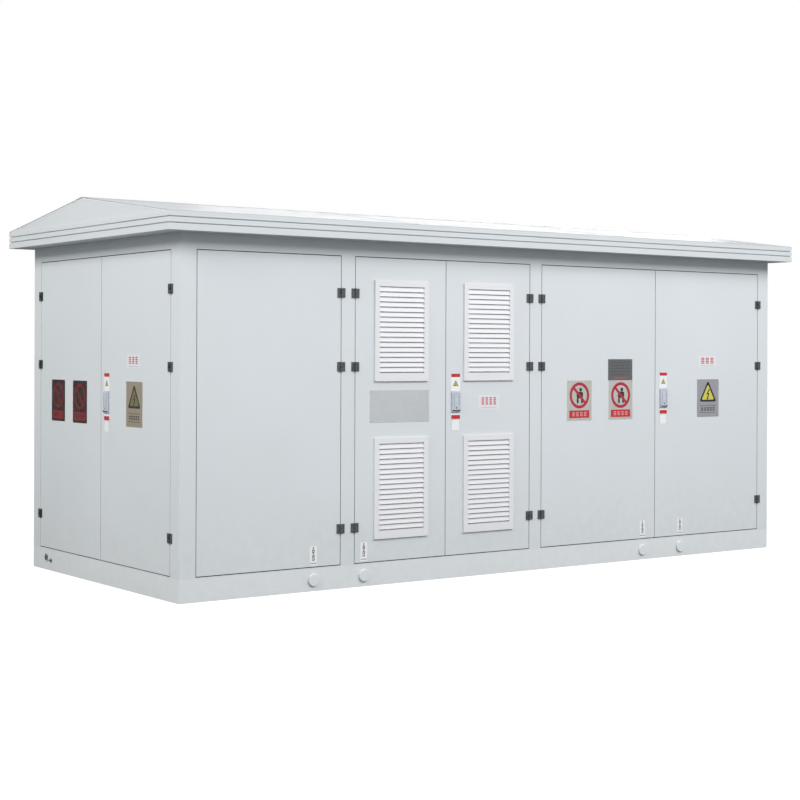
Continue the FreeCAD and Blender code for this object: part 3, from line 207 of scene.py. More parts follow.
def cast_black(name, color=(0.020, 0.023, 0.027)):
    """Black coated die-casting with a pebbled skin, its edges lightened partly by rubbing and partly by
    a painted highlight.
    """
    graph = Graph(name)
    tone = graph.mix(graph.cloud((40, 4), 0.35, 0.7), color, shade(color, 2.1))
    tone = graph.wear_and_highlight_edges(tone, 0.0012, 0.55, (0.12, 0.13, 0.14))
    rough = graph.cloud((90, 3), 0.3, 0.7, 0.38, 0.55)
    skin = graph.bump(graph.noise(1400, 2), 0.00012, 0.7)
    return graph.finish(tone, rough, skin)


def brushed_metal(name, color, roughness=0.34, along="z", grain=0.0001):
    """Drawn or brushed metal with fine lines along one axis."""
    graph = Graph(name)
    stretch = {"x": (0.02, 1, 1), "y": (1, 0.02, 1), "z": (1, 1, 0.02)}[along]
    lines = graph.noise(900, 3, 0.6, stretch)
    tone = graph.mix(graph.ramp(lines, 0.3, 0.7), shade(color, 0.86), shade(color, 1.06))
    stain = graph.cloud((16, 5), 0.5, 0.8, 0, 0.3)
    tone = graph.mix(stain, tone, shade(color, 0.68))
    # Edges lightened: partly wear, partly a painted highlight.
    tone = graph.wear_and_highlight_edges(tone, 0.001, 0.4, shade(color, 1.3))
    rough = graph.cloud((30, 4), 0.3, 0.7, roughness - 0.06, roughness + 0.10)
    return graph.finish(tone, rough, graph.bump(lines, grain, 0.5), 0.9)


def galvanised(name):
    """Zinc spangle on sheet."""
    graph = Graph(name)
    cells = graph.add("ShaderNodeTexVoronoi", Scale=55)
    graph.link(graph.coordinates(), cells.inputs["Vector"])
    split = graph.split(cells.outputs["Color"])
    tone = graph.mix(split["X"], (0.36, 0.38, 0.40), (0.58, 0.60, 0.62))
    stain = graph.cloud((4, 5), 0.5, 0.8, 0, 0.45)
    tone = graph.mix(stain, tone, (0.40, 0.41, 0.41))
    rough = graph.ramp(split["Y"], 0, 1, 0.36, 0.56)
    return graph.finish(tone, rough, graph.bump(graph.noise(200, 2), 0.0001, 0.5), 0.75)


def floor_paint(name):
    """Scuffed floor paint with bare rubbed patches."""
    graph = Graph(name)
    base = graph.mix(graph.cloud((3, 5), 0.3, 0.7), (0.13, 0.145, 0.15), (0.19, 0.20, 0.20))
    scuff = graph.cloud((26, 8, 0.7, (1, 0.25, 1)), 0.58, 0.74, 0, 0.6)
    tone = graph.mix(scuff, base, (0.30, 0.29, 0.27))
    rough = graph.cloud((18, 4), 0.3, 0.7, 0.5, 0.75)
    return graph.finish(tone, rough, graph.bump(graph.noise(60, 4), 0.0006, 0.5))


def glaze(name):
    """Brown glazed porcelain."""
    graph = Graph(name)
    tone = graph.mix(graph.cloud((24, 5), 0.3, 0.7), (0.17, 0.055, 0.025), (0.26, 0.09, 0.045))
    rough = graph.cloud((50, 3), 0.3, 0.7, 0.10, 0.2)
    graph.set(Coat_Weight=0.6, Coat_Roughness=0.06)
    return graph.finish(tone, rough, graph.bump(graph.noise(70, 3), 0.0002, 0.4))


def copper(name):
    graph = Graph(name)
    turns = graph.add("ShaderNodeTexWave", wave_type="BANDS", bands_direction="Z", Scale=40,
                      Distortion=0.4)
    graph.link(graph.coordinates(), turns.inputs["Vector"])
    tone = graph.mix(turns.outputs["Fac"], (0.30, 0.11, 0.05), (0.62, 0.27, 0.13))
    rough = graph.cloud((20, 4), 0.3, 0.7, 0.25, 0.42)
    return graph.finish(tone, rough, graph.bump(turns.outputs["Fac"], 0.002, 0.8), 0.7)


def laminations(name):
    graph = Graph(name)
    layers = graph.noise(900, 2, 0.5, (0.02, 1, 0.02))
    tone = graph.mix(layers, (0.10, 0.11, 0.12), (0.26, 0.27, 0.29))
    return graph.finish(tone, 0.42, graph.bump(layers, 0.0002, 0.7), 0.8)


def plastic(name, color, roughness=0.3, texture=0.00008):
    """Moulded plastic: slight tone drift and a fine matt texture."""
    graph = Graph(name)
    tone = graph.mix(graph.cloud((30, 4), 0.3, 0.7), shade(color, 0.92), shade(color, 1.06))
    # Edges lightened: partly wear, partly a painted highlight.
    tone = graph.wear_and_highlight_edges(tone, 0.0012, 0.3, tuple(0.6 * channel + 0.12 for channel in color))
    rough = graph.cloud((60, 3), 0.3, 0.7, roughness - 0.04, roughness + 0.1)
    return graph.finish(tone, rough, graph.bump(graph.noise(900, 2), texture, 0.6))


def vinyl(name, color, roughness=0.38):
    """Printed sticker or enamelled plate: faded patches, fine dirt, a slightly uneven film."""
    graph = Graph(name)
    faded = tuple(0.93 * channel + 0.03 for channel in color)
    tone = graph.mix(graph.cloud((22, 5), 0.35, 0.75), color, faded)
    dirt = graph.cloud((240, 3), 0.62, 0.8, 0, 0.18)
    tone = graph.mix(dirt, tone, shade(color, 0.7))
    rough = graph.cloud((45, 3), 0.3, 0.7, roughness - 0.06, roughness + 0.08)
    return graph.finish(tone, rough, graph.bump(graph.noise(60, 2), 0.0002, 0.35))


def plate_metal(name, color, roughness=0.36):
    """Etched metal sign plate with brushed lines across it."""
    graph = Graph(name)
    lines = graph.noise(700, 3, 0.6, (0.03, 0.03, 1))
    tone = graph.mix(graph.ramp(lines, 0.3, 0.7), shade(color, 0.9), shade(color, 1.08))
    cloud = graph.cloud((7, 4), 0.35, 0.7, 0, 0.4)
    tone = graph.mix(cloud, tone, shade(color, 0.84))
    rough = graph.cloud((40, 3), 0.3, 0.7, roughness - 0.05, roughness + 0.1)
    return graph.finish(tone, rough, graph.bump(lines, 0.00008, 0.4), 0.55)


MAT = {
    "body": powder_coat("body_paint", (0.668, 0.703, 0.725)),
    # Fascia and gables: the body paint darkened as painted shade.
    "trim": powder_coat("shaded_trim_paint", (0.625, 0.655, 0.675)),
    # Roof sheets and ridge cap: the body paint darkened as painted shade, toning down the strongly lit
    # roof.
    "roof": powder_coat("roof_paint", (0.500, 0.515, 0.528), grime=0.0),
    "base": powder_coat("base_paint", (0.715, 0.745, 0.765), 0.48, 0.25),
    # The louvre paint darkens its up-facing slat faces: painted shade.
    "louvre": powder_coat("louvre_paint", (0.760, 0.760, 0.783), 0.46, 0.1, upward_shade=0.42),
    # Front hinges: the black casting lightened as painted light; the end hinges keep the plain black.
    "hinge": cast_black("hinge_black", (0.050, 0.055, 0.061)),
    "hinge_end": cast_black("hinge_black_end"),
    "handle": plastic("handle_metal", (0.52, 0.56, 0.64), 0.38),
    "lock": plastic("lock_housing", (0.50, 0.53, 0.58), 0.42),
    "steel": brushed_metal("bright_steel", (0.56, 0.57, 0.58), 0.30),
    "floor": floor_paint("floor_steel"),
    "zinc": galvanised("galvanised_sheet"),
    "tank": powder_coat("tank_paint", (0.20, 0.235, 0.24), 0.34, 0.2),
    "core": laminations("core_steel"),
    "coil": copper("coil_copper"),
    "bar_copper": brushed_metal("bar_copper", (0.62, 0.27, 0.13), 0.28, "x"),
    "porcelain": glaze("porcelain"),
    "cabinet": powder_coat("cabinet_enamel", (0.58, 0.57, 0.50), 0.38, 0.1),
    "cabinet_door": powder_coat("cabinet_door_enamel", (0.62, 0.61, 0.55), 0.34, 0.1),
    "lever": plastic("lever_red", (0.42, 0.018, 0.014), 0.24),
    "boot_red": plastic("boot_red", (0.34, 0.030, 0.022), 0.5),
    "black": plastic("black_plastic", (0.018, 0.019, 0.021), 0.4),
    "cable": plastic("cable_jacket", (0.028, 0.028, 0.030), 0.5),
    "breaker_grey": plastic("breaker_grey", (0.10, 0.105, 0.115), 0.42),
    "glass": plastic("window_glass", (0.030, 0.045, 0.050), 0.08, 0.00001),
    "lamp_red": plastic("lamp_red", (0.62, 0.030, 0.020), 0.15),
    "lamp_green": plastic("lamp_green", (0.030, 0.40, 0.080), 0.15),
    "lamp_yellow": plastic("lamp_yellow", (0.75, 0.46, 0.030), 0.15),
    "rubber": plastic("seal_rubber", (0.022, 0.022, 0.023), 0.62),
    # Lightened copies of the black seal rubber: painted light for the gaps beside and between the
    # leaves.
    "lit_grey_seal": plastic("lit_grey_seal", (0.17, 0.18, 0.19), 0.62),
    "lit_pale_seal": plastic("lit_pale_seal", (0.60, 0.62, 0.63), 0.62),
    "red": vinyl("sign_red", (0.52, 0.018, 0.028)),
    "crimson": vinyl("sign_crimson", (0.42, 0.014, 0.038)),
    "mark_red": vinyl("mark_red", (0.58, 0.045, 0.080)),
    "white": vinyl("sign_white", (0.84, 0.845, 0.86)),
    "label": vinyl("label_white", (0.74, 0.75, 0.77)),
    "yellow": vinyl("sign_yellow", (0.60, 0.56, 0.08)),
    "olive": vinyl("sign_olive", (0.17, 0.16, 0.055)),
    "ink": vinyl("sign_black", (0.020, 0.020, 0.022)),
    "grey_plate": plate_metal("grey_name_plate", (0.76, 0.79, 0.81)),
    "dark_plate": plate_metal("dark_name_plate", (0.12, 0.12, 0.125)),
    "rating": plate_metal("rating_plate_metal", (0.20, 0.20, 0.205)),
    "sign_plate": plate_metal("sign_plate_metal", (0.74, 0.73, 0.68)),
    "mauve_plate": plate_metal("mauve_plate_metal", (0.50, 0.49, 0.54)),
    "bronze": plate_metal("bronze_plate_metal", (0.52, 0.44, 0.34), 0.34),
    "red_dark": vinyl("dark_red_plate", (0.024, 0.007, 0.006), 0.62),
    "red_deep": vinyl("sign_deep_red", (0.150, 0.004, 0.006), 0.62),
    "red_band": vinyl("sign_band_red", (0.230, 0.006, 0.008), 0.62),
    "pink": vinyl("sign_pale_red", (0.70, 0.33, 0.35)),
    "dark_brown": vinyl("sign_dark_brown", (0.022, 0.012, 0.010)),
}

NODE_MATERIALS = {
    "body": ("wall_frame", "fixed_panels"),
    "trim": ("eaves_fascia", "gable_panels"),
    "roof": ("roof_sheets", "ridge_cap"),
    "base": ("base_frame",),
    "louvre": ("door_louvres_left", "door_louvres_right", "rear_louvres"),
    "hinge": ("frame_hinge_leaves",),
    "steel": ("hinge_pins", "fasteners", "tap_changer_handle"),
    "floor": ("floor_plates",),
    "zinc": ("partition_walls", "roof_trusses"),
    "tank": ("transformer_tank", "tank_cover"),
    "core": ("iron_core",),
    "coil": ("windings",),
    "porcelain": ("bushings",),
    "cabinet": ("ring_main_unit", "lv_switchboard"),
    "lever": ("hv_switch_lever", "breaker_lever"),
}


def material_of(label):
    """Material key for a CAD node."""
    for key, members in NODE_MATERIALS.items():
        if label in members:
            return key
    if label.startswith("hv_end") and label.endswith("_hinges"):
        return "hinge_end"
    endings = {"_hinges": "hinge", "_lock_plate": "lock", "_lock_handle": "handle",
               "_rod": "steel"}
    for ending, key in endings.items():
        if label.endswith(ending):
            return key
    return "base" if label.startswith("lifting_shaft") else "body"


def soften_edges(thing, width, angle):
    """Round the edges sharper than an angle in degrees."""
    bevel = thing.modifiers.new("edge", "BEVEL")
    bevel.width = width
    bevel.segments = 2
    bevel.limit_method = "ANGLE"
    bevel.angle_limit = math.radians(angle)
    return bevel


def dress_cad_nodes():
    """Give each CAD node its material and slightly rounded edges."""
    bevels = {"body": 0.0012, "trim": 0.0012, "roof": 0.0015, "base": 0.0025, "louvre": 0.0006,
              "hinge": 0.0008, "hinge_end": 0.0008, "handle": 0.0004, "lock": 0.001,
              "cabinet": 0.0015, "tank": 0.0015}
    for label, thing in nodes.items():
        key = material_of(label)
        thing.data.materials.clear()
        thing.data.materials.append(MAT[key])
        if key in bevels:
            thing.modifiers.new("weld", "WELD").merge_threshold = 0.00002
            soften_edges(thing, bevels[key], 40).harden_normals = True


# --- flat pieces on the doors --------------------

class Face:
    """A vertical face: u to the right and v up as seen from outside, n outward."""

    def __init__(self, origin, right, out):
        self.origin = Vector(origin)
        self.right = Vector(right)
        self.out = Vector(out)

    def point(self, u, v, n):
        return self.origin + self.right * u + Vector((0, 0, 1)) * v + self.out * n

    def span(self, node):
        """Lowest u, highest u, lowest v and highest v of a CAD node on this face."""
        low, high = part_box(node)
        ends = sorted((corner - self.origin).dot(self.right) for corner in (low, high))
        return ends[0], ends[1], low.z, high.z

    def proud(self, node):
        """How far a CAD node stands out of this face."""
        return max((corner - self.origin).dot(self.out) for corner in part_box(node))


FRONT = Face((0, FRONT_Y, 0), (1, 0, 0), (0, -1, 0))
REAR = Face((0, REAR_Y, 0), (-1, 0, 0), (0, 1, 0))
END = Face((LEFT_X, 0, 0), (0, -1, 0), (-1, 0, 0))
RIGHT = Face((RIGHT_X, 0, 0), (0, 1, 0), (1, 0, 0))
BREAKER_PROUD = 0.060
UNIT = Face((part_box("ring_main_unit")[0].x, 0, 0), (0, -1, 0), (-1, 0, 0))
BOARD = Face((0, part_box("lv_switchboard")[0].y + BREAKER_PROUD, 0), (1, 0, 0), (0, -1, 0))

# Heights above their face: enamelled or metal plates, stickers, and printed films on either.
# TOUCH keeps a piece from lying in the face under it.
PLATE, STICKER, FILM, TOUCH = 0.0012, 0.0005, 0.0002, 0.0001


def walls(first, second):
    """Corners of the quads between two rings of vertices."""
    return list(zip(first, first[1:] + first[:1], second[1:] + second[:1], second))


class Relief:
    """Thin raised shapes on a face, collected into one mesh piece with several materials."""

    def __init__(self, name, face, u=0.0, v=0.0):
        self.name = name
        self.face = face
        self.u = u
        self.v = v
        self.mesh = bmesh.new()
        self.keys = []

    def _slot(self, key):
        if key not in self.keys:
            self.keys.append(key)
        return self.keys.index(key)

    def _vertex(self, point, n):
        return self.mesh.verts.new(self.face.point(self.u + point[0], self.v + point[1], n))

    def prism(self, points, low, high, key):
        """Closed prism over an outline, from height low to high above the face."""
        slot = self._slot(key)
        back = [self._vertex(point, low) for point in points]
        front = [self._vertex(point, high) for point in points]
        for corners in (front, back[::-1], *walls(back, front)):
            self.mesh.faces.new(corners).material_index = slot

    def block(self, center, width, height, corner, low, high, key):
        """Prism over a rounded rectangle."""
        self.prism(rounded(width, height, corner, center), low, high, key)

    def film(self, points, level, key):
        """Printed film over an outline, on a sheet whose top is at that level."""
        self.prism(points, level, level + FILM, key)

    def disc(self, center, radius, steps, low, high, key):
        """Prism over a circle."""
        self.prism(circle(center, radius, steps), low, high, key)

    def band(self, outer, inner, low, high, key):
        """Closed band between two outlines that have the same number of points."""
        slot = self._slot(key)
        rows = [[self._vertex(point, level) for point in outline]
                for outline, level in ((outer, low), (outer, high), (inner, high), (inner, low))]
        for first, second in zip(rows, rows[1:] + rows[:1]):
            for corners in walls(first, second):
                self.mesh.faces.new(corners).material_index = slot

    def finish(self, body, soften=0.0):
        bmesh.ops.recalc_face_normals(self.mesh, faces=self.mesh.faces)
        finish_mesh(self.name, self.mesh, self.keys, body, soften)


def put(name, data):
    """New object in the scene."""
    thing = bpy.data.objects.new(name, data)
    bpy.context.scene.collection.objects.link(thing)
    return thing


def put_mesh(name, mesh, materials):
    """New mesh object made from a bmesh."""
    data = bpy.data.meshes.new(name)
    mesh.to_mesh(data)
    mesh.free()
    for material in materials:
        data.materials.append(material)
    return put(name, data)


def finish_mesh(name, mesh, keys, body, soften=0.0):
    """Turn a bmesh into a piece that rides a body."""
    piece = put_mesh(name, mesh, [MAT[key] for key in keys])
    if soften:
        soften_edges(piece, soften, 50)
    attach(piece, body)


def polar(center, radius, degrees):
    """Point at a distance and a direction from a center."""
    turn = math.radians(degrees)
    return center[0] + radius * math.cos(turn), center[1] + radius * math.sin(turn)


def arc(center, radius, start, end, steps):
    return [polar(center, radius, start + (end - start) * k / steps) for k in range(steps + 1)]


def circle(center, radius, steps=48):
    return arc(center, radius, 0, 360, steps)[:-1]


def rounded(width, height, radius, center=(0.0, 0.0), steps=5):
    """Rectangle with rounded corners, anticlockwise."""
    points = []
    for sign_u, sign_v, start in ((1, -1, -90), (1, 1, 0), (-1, 1, 90), (-1, -1, 180)):
        corner = (center[0] + sign_u * (width / 2 - radius),
                  center[1] + sign_v * (height / 2 - radius))
        points += arc(corner, radius, start, start + 90, steps)
    return points


def triangle(side, center, radius):
    """Upright triangle with rounded corners."""
    high = side * math.sqrt(3) / 2
    points = []
    inner = side / 2 - radius * math.sqrt(3)
    for corner, start in (((inner, -high / 3 + radius), -90), ((0, 2 * high / 3 - 2 * radius), 30),
                          ((-inner, -high / 3 + radius), 150)):
        where = (center[0] + corner[0], center[1] + corner[1])
        points += arc(where, radius, start, start + 120, 5)
    return points


def bolt(center, tall):
    """Plain zigzag spark."""
    shape = ((0.10, 0.50), (-0.22, 0.02), (-0.02, 0.02), (-0.10, -0.32), (-0.20, -0.28),
             (-0.05, -0.52), (0.12, -0.30), (0.02, -0.32), (0.20, 0.14), (0.0, 0.14), (0.26, 0.50))
    return [(center[0] + x * tall, center[1] + y * tall) for x, y in shape]


def dashes(relief, center, width, height, count, level, key, rows=1):
    """Blocks of plain bars that stand where lettering would be."""
    step = width / count
    pitch = height / rows
    for index in range(count):
        across = center[0] - width / 2 + step * (index + 0.5)
        for row in range(rows):
            up = center[1] - height / 2 + pitch * (row + 0.5)
            relief.film(rounded(step * 0.66, pitch * 0.62, pitch * 0.15, (across, up), 2), level, key)


def warning_triangle(relief, center, side, level, inner="yellow"):
    relief.film(triangle(side, center, side * 0.06), level, "ink")
    relief.film(triangle(side * 0.72, center, side * 0.04), level + FILM, inner)
    relief.film(bolt(center, side * 0.42), level + 2 * FILM, "ink")


def sheet(name, face, place, size, corner, top, key):
    """Relief that starts as one plate or sticker."""
    relief = Relief(name, face, *place)
    relief.prism(rounded(*size, corner), TOUCH, top, key)
    return relief


def rivets(relief, width, height, level, center=(0, 0), inset=0.009, radius=0.003, tall=0.0012,
           steps=12):
    """Round heads near the four corners of a rectangle."""
    for u in (-1, 1):
        for v in (-1, 1):
            spot = (center[0] + u * (width / 2 - inset), center[1] + v * (height / 2 - inset))
            relief.disc(spot, radius, steps, level, level + tall, "steel")


def standing_mark(relief, center, radius, level, key):
    """Plain mark behind the bar: a dot over a rounded block on two short ones."""
    head = (center[0] + radius * 0.12, center[1] + radius * 0.44)
    relief.film(circle(head, radius * 0.14, 24), level, key)
    trunk = (center[0] + radius * 0.04, center[1] + radius * 0.03)
    relief.film(rounded(radius * 0.66, radius * 0.50, radius * 0.16, trunk), level, key)
    for side in (-1, 1):
        leg = (trunk[0] + side * radius * 0.22, center[1] - radius * 0.40)
        relief.film(rounded(radius * 0.18, radius * 0.42, radius * 0.06, leg), level, key)


def prohibition_plate(name, body, face, place, size, colors):
    """Metal plate with a barred ring over a plain mark, and a band of bars below."""
    ground, ring, mark, foot, bars = colors
    width, height = size
    relief = sheet(name, face, place, size, 0.008, PLATE, ground)
    center = (0, height * 0.125)
    radius = width * 0.40
    relief.band(circle(center, radius), circle(center, radius * 0.77), PLATE, PLATE + 2 * FILM, ring)
    standing_mark(relief, center, radius, PLATE, mark)
    tilt = math.radians(-45)
    along = Vector((math.cos(tilt), math.sin(tilt))) * radius * 0.80
    across = Vector((-along.y, along.x)) * 0.13
    corners = [Vector(center) + a * along + b * across for a, b in ((-1, -1), (1, -1), (1, 1), (-1, 1))]
    relief.prism(corners, PLATE + FILM, PLATE + 3 * FILM, ring)
    band_height = height * 0.19
    band = (0, -height * 0.345)
    relief.film(rounded(width * 0.82, band_height, 0.003, band), PLATE, foot)
    dashes(relief, band, width * 0.64, band_height * 0.60, 4, PLATE + FILM, bars, 3)
    rivets(relief, width, height, PLATE)
    relief.finish(body)


def warning_plate(name, body, face, place, size, ground, inner):
    """Metal plate with a spark triangle over a lined band of bars."""
    width, height = size
    relief = sheet(name, face, place, size, 0.008, PLATE, ground)
    warning_triangle(relief, (0, height * 0.09), width * 0.80, PLATE, inner)
    for line in (-0.205, -0.385):
        rule = rounded(width * 0.74, height * 0.010, height * 0.004, (0, height * line), 2)
        relief.film(rule, PLATE, "ink")
    dashes(relief, (0, -height * 0.295), width * 0.66, height * 0.105, 5, PLATE, "ink", 2)
    rivets(relief, width, height, PLATE)
    relief.finish(body)


def room_label(name, body, face, place, size, blocks):
    """Small white room label: red blocks of bars over a fine grey line."""
    width, height = size
    relief = sheet(name, face, place, size, 0.006, STICKER, "label")
    dashes(relief, (0, height * 0.09), width * 0.74, height * 0.56, blocks, STICKER, "mark_red", 4)
    dashes(relief, (0, -height * 0.36), width * 0.70, height * 0.07, 9, STICKER, "mauve_plate")
    relief.finish(body)


def sling_sticker(name, body, face, u):
    """White sticker with a plain chain mark over a lifting shaft."""
    relief = sheet(name, face, (u, DOOR_LOW + 0.078), (0.060, 0.136), 0.004, STICKER, "white")
    for index in range(4):
        center = (0, 0.050 - index * 0.019)
        wide = 0.020 if index % 2 else 0.010
        outer = rounded(wide, 0.024, wide * 0.4, center, 4)
        inner = rounded(wide * 0.4, 0.014, wide * 0.18, center, 4)
        relief.band(outer, inner, STICKER, STICKER + FILM, "ink")
    hook = arc((0, -0.022), 0.013, 180, 360, 12) + arc((0, -0.022), 0.007, 360, 180, 12)
    relief.film(hook, STICKER, "ink")
    dashes(relief, (0, -0.054), 0.054, 0.010, 4, STICKER, "ink")
    relief.finish(body)


def lock_sticker(name, body, face, lock):
    """Sticker above and below a rod lock: red bands, a warning triangle and an outlined box."""
    left, right, low, high = face.span(f"{lock}_plate")
    width, above, below = 0.086, 0.130, 0.140
    for part, tall, v, red_tall, drop in (("upper", above, high + above / 2, 0.026, 0.014),
                                          ("lower", below, low - below / 2, 0.030, 0.034)):
        place = ((left + right) / 2, v)
        relief = sheet(f"{name}_{part}", face, place, (width, tall), 0.003, STICKER, "white")
        relief.film(rounded(width - 0.002, red_tall, 0.003, (0, tall / 2 - drop)), STICKER, "red")
        if part == "upper":
            warning_triangle(relief, (0, -0.014), 0.050, STICKER)
        else:
            box = (0, -tall / 2 + 0.046)
            outer = rounded(width - 0.004, 0.084, 0.003, box)
            inner = rounded(width - 0.009, 0.079, 0.002, box)
            relief.band(outer, inner, STICKER, STICKER + FILM, "mauve_plate")
        relief.finish(body)


def blank_name_plate():
    """Large plate left blank, with a rivet at each corner."""
    size = (0.536, 0.236)
    relief = sheet("blank_name_plate", FRONT, (-1.078, 1.303), size, 0.005, PLATE, "grey_plate")
    rivets(relief, *size, PLATE)
    relief.finish("transformer_door_left")


def rating_plate():
    """Dark etched plate with blank rows, and a thin red line at its foot."""
    size = (0.269, 0.172)
    relief = sheet("rating_plate", FRONT, (1.138, 1.564), size, 0.004, PLATE, "rating")
    for row in range(5):
        up = 0.060 - row * 0.025
        dashes(relief, (0, up), 0.22, 0.010, 6 + row % 3, PLATE, "dark_plate", 2)
    relief.film(rounded(0.150, 0.007, 0.002, (0, -0.066), 2), PLATE, "mark_red")
    rivets(relief, *size, PLATE)
    relief.finish("lv_door_left")


LOCKS = {"transformer_lock": ("transformer_door_right", FRONT), "lv_lock": ("lv_door_right", FRONT),
         "hv_lock": ("hv_end_door_front", END)}
SLINGS = {"outer_left": "hv_side_door", "inner_left": "transformer_door_left",
          "inner_right": "lv_door_left", "outer_right": "lv_door_right"}


def signs():
    """Every plate and sticker: the place is its middle on the face, the size its width and height."""
    bright = ("sign_plate", "crimson", "ink", "red", "pink")
    dark = ("red_dark", "red_deep", "dark_brown", "red_band", "red_dark")
    blank_name_plate()
    rating_plate()
    room_label("transformer_room_label", "transformer_door_right", FRONT, (-0.237, 1.319),
               (0.210, 0.110), 4)
    room_label("lv_room_label", "lv_door_right", FRONT, (2.150, 1.629), (0.223, 0.098), 3)
    room_label("hv_room_label", "hv_end_door_front", END, (0.516, 1.626), (0.206, 0.098), 3)
    front = ("lv_door_left", FRONT)
    end = ("hv_end_door_rear", END)
    prohibition_plate("prohibition_plate_one", *front, (0.693, 1.320), (0.261, 0.319), bright)
    prohibition_plate("prohibition_plate_two", *front, (1.143, 1.318), (0.263, 0.314), bright)
    prohibition_plate("end_prohibition_plate_one", *end, (-0.743, 1.321), (0.238, 0.316), dark)
    prohibition_plate("end_prohibition_plate_two", *end, (-0.359, 1.319), (0.243, 0.317), dark)
    warning_plate("warning_plate_front", "lv_door_right", FRONT, (2.158, 1.321), (0.260, 0.318),
                  "mauve_plate", "yellow")
    warning_plate("warning_plate_end", "hv_end_door_front", END, (0.534, 1.324), (0.249, 0.320),
                  "bronze", "olive")
    for side, door in SLINGS.items():
        sling_sticker(f"sling_sticker_{side}", door, FRONT, middle(f"lifting_shaft_front_{side}").x)
        sling_sticker(f"rear_sling_sticker_{side}", "enclosure", REAR,
                      -middle(f"lifting_shaft_rear_{side}").x)
    for lock, (door, face) in LOCKS.items():
        lock_sticker(f"{lock}_sticker", door, face, lock)
        handle_details(lock, face)


def handle_details(lock, face):
    """Grip slot at the handle's head, two fine ribs, a key cover and a dark strip at the foot."""
    left, right, low, high = face.span(f"{lock}_handle")
    level = face.proud(f"{lock}_handle")
    relief = Relief(f"{lock}_key_cover", face, (left + right) / 2, low)
    root = level - FILM
    relief.block((0, high - low - 0.008), 0.070, 0.008, 0.003, root, level + 0.0008, "lock")
    for side in (-1, 1):
        rib = rounded(0.003, 0.086, 0.001, (side * 0.024, 0.082), 3)
        relief.prism(rib, root, level + 0.0010, "steel")
    hub = (0, 0.170)
    strip = arc(hub, 0.166, 257, 283, 16) + arc(hub, 0.158, 283, 257, 16)
    relief.prism(strip, root, level + 0.0014, "black")
    key_place = (0, 0.030)
    relief.disc(key_place, 0.0085, 28, root, level + 0.0012, "steel")
    # The keyhole is a black film: painted shade standing in for the dark slot.
    keyway_shade = rounded(0.0022, 0.009, 0.001, key_place, 3)
    relief.prism(keyway_shade, level + 0.0012, level + 0.0013, "ink")
    relief.finish(f"{lock}_handle", 0.0003)


# --- seals, trims and leaf backs --------------------

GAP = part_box("transformer_door_right")[0].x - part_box("transformer_door_left")[1].x
SEAL_FRONT, SEAL_END = -0.0022, -0.0060
OPENINGS = {"hv_side": (FRONT, SEAL_FRONT, ("hv_side_door",)),
            "transformer": (FRONT, SEAL_FRONT, ("transformer_door_left", "transformer_door_right")),
            "lv": (FRONT, SEAL_FRONT, ("lv_door_left", "lv_door_right")),
            "hv_end": (END, SEAL_END, ("hv_end_door_rear", "hv_end_door_front"))}


def box_outline(left, right, low, high):
    return [(left, low), (right, low), (right, high), (left, high)]


def door_seals():
    """Rubber in the gaps: black above and below the leaves; beside and between them the rubber is
    lightened to grey, and to pale on the end face, as painted light.
    """
    deep = -0.013
    for name, (face, shallow, leaves) in OPENINGS.items():
        spans = [face.span(leaf) for leaf in leaves]
        left, right = spans[0][0], spans[-1][1]
        near, far = 0.0008, GAP - 0.0002
        beside = "lit_pale_seal" if face is END else "lit_grey_seal"
        ring = Relief(f"{name}_opening_seal", face)
        for low, high in ((DOOR_LOW - far, DOOR_LOW - near), (DOOR_HIGH + near, DOOR_HIGH + far)):
            ring.prism(box_outline(left - far, right + far, low, high), deep, shallow, "rubber")
        for start, end in ((left - far, left - near), (right + near, right + far)):
            ring.prism(box_outline(start, end, DOOR_LOW - near, DOOR_HIGH + near), deep, shallow, beside)
        ring.finish("enclosure")
        if len(leaves) > 1:
            edge = spans[0][1]
            strip = Relief(f"{name}_meeting_seal", face)
            strip.prism(box_outline(edge + TOUCH, edge + GAP - 0.0008, DOOR_LOW + 0.002,
                                    DOOR_HIGH - 0.002), deep, shallow, "lit_grey_seal")
            strip.finish(leaves[0])


def leaf_stiffeners():
    """Folded rails across the back of each leaf, clear of the lock's cam and rods."""
    for face, _, leaves in OPENINGS.values():
        for leaf in leaves:
            left, right = face.span(leaf)[:2]
            louvred = leaf.startswith("transformer")
            relief = Relief(f"{leaf}_rails", face, (left + right) / 2, 0)
            width = right - left - 0.030
            for height in (1.16,) if louvred else (0.62, 1.16, 1.80):
                relief.block((0, height), width, 0.090, 0.004, -0.0052, -0.0031, "body")
                relief.block((0, height), width, 0.050, 0.004, -0.0145, -0.0052, "body")
            relief.finish(leaf, 0.0015)


def verge_trims():
    """Trim strip along both slopes of each gable; its pale louvre paint is a painted highlight along the
    verge.
    """
    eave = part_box("eaves_fascia")[1].y - 0.002
    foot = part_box("eaves_fascia")[1].z + 0.0006
    low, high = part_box("gable_panels")
    peak = high.z - 0.0006
    drop = 0.010
    run = eave * (1 - drop / (peak - foot))
    for name, face, gable in (("left", END, LEFT_X - low.x), ("right", RIGHT, high.x - RIGHT_X)):
        relief = Relief(f"{name}_verge_trim", face)
        for side in (-1, 1):
            points = [(side * eave, foot), (0, peak), (0, peak - drop), (side * run, foot)]
            relief.prism(points, gable + TOUCH, gable + PLATE, "louvre")
        relief.finish("enclosure")


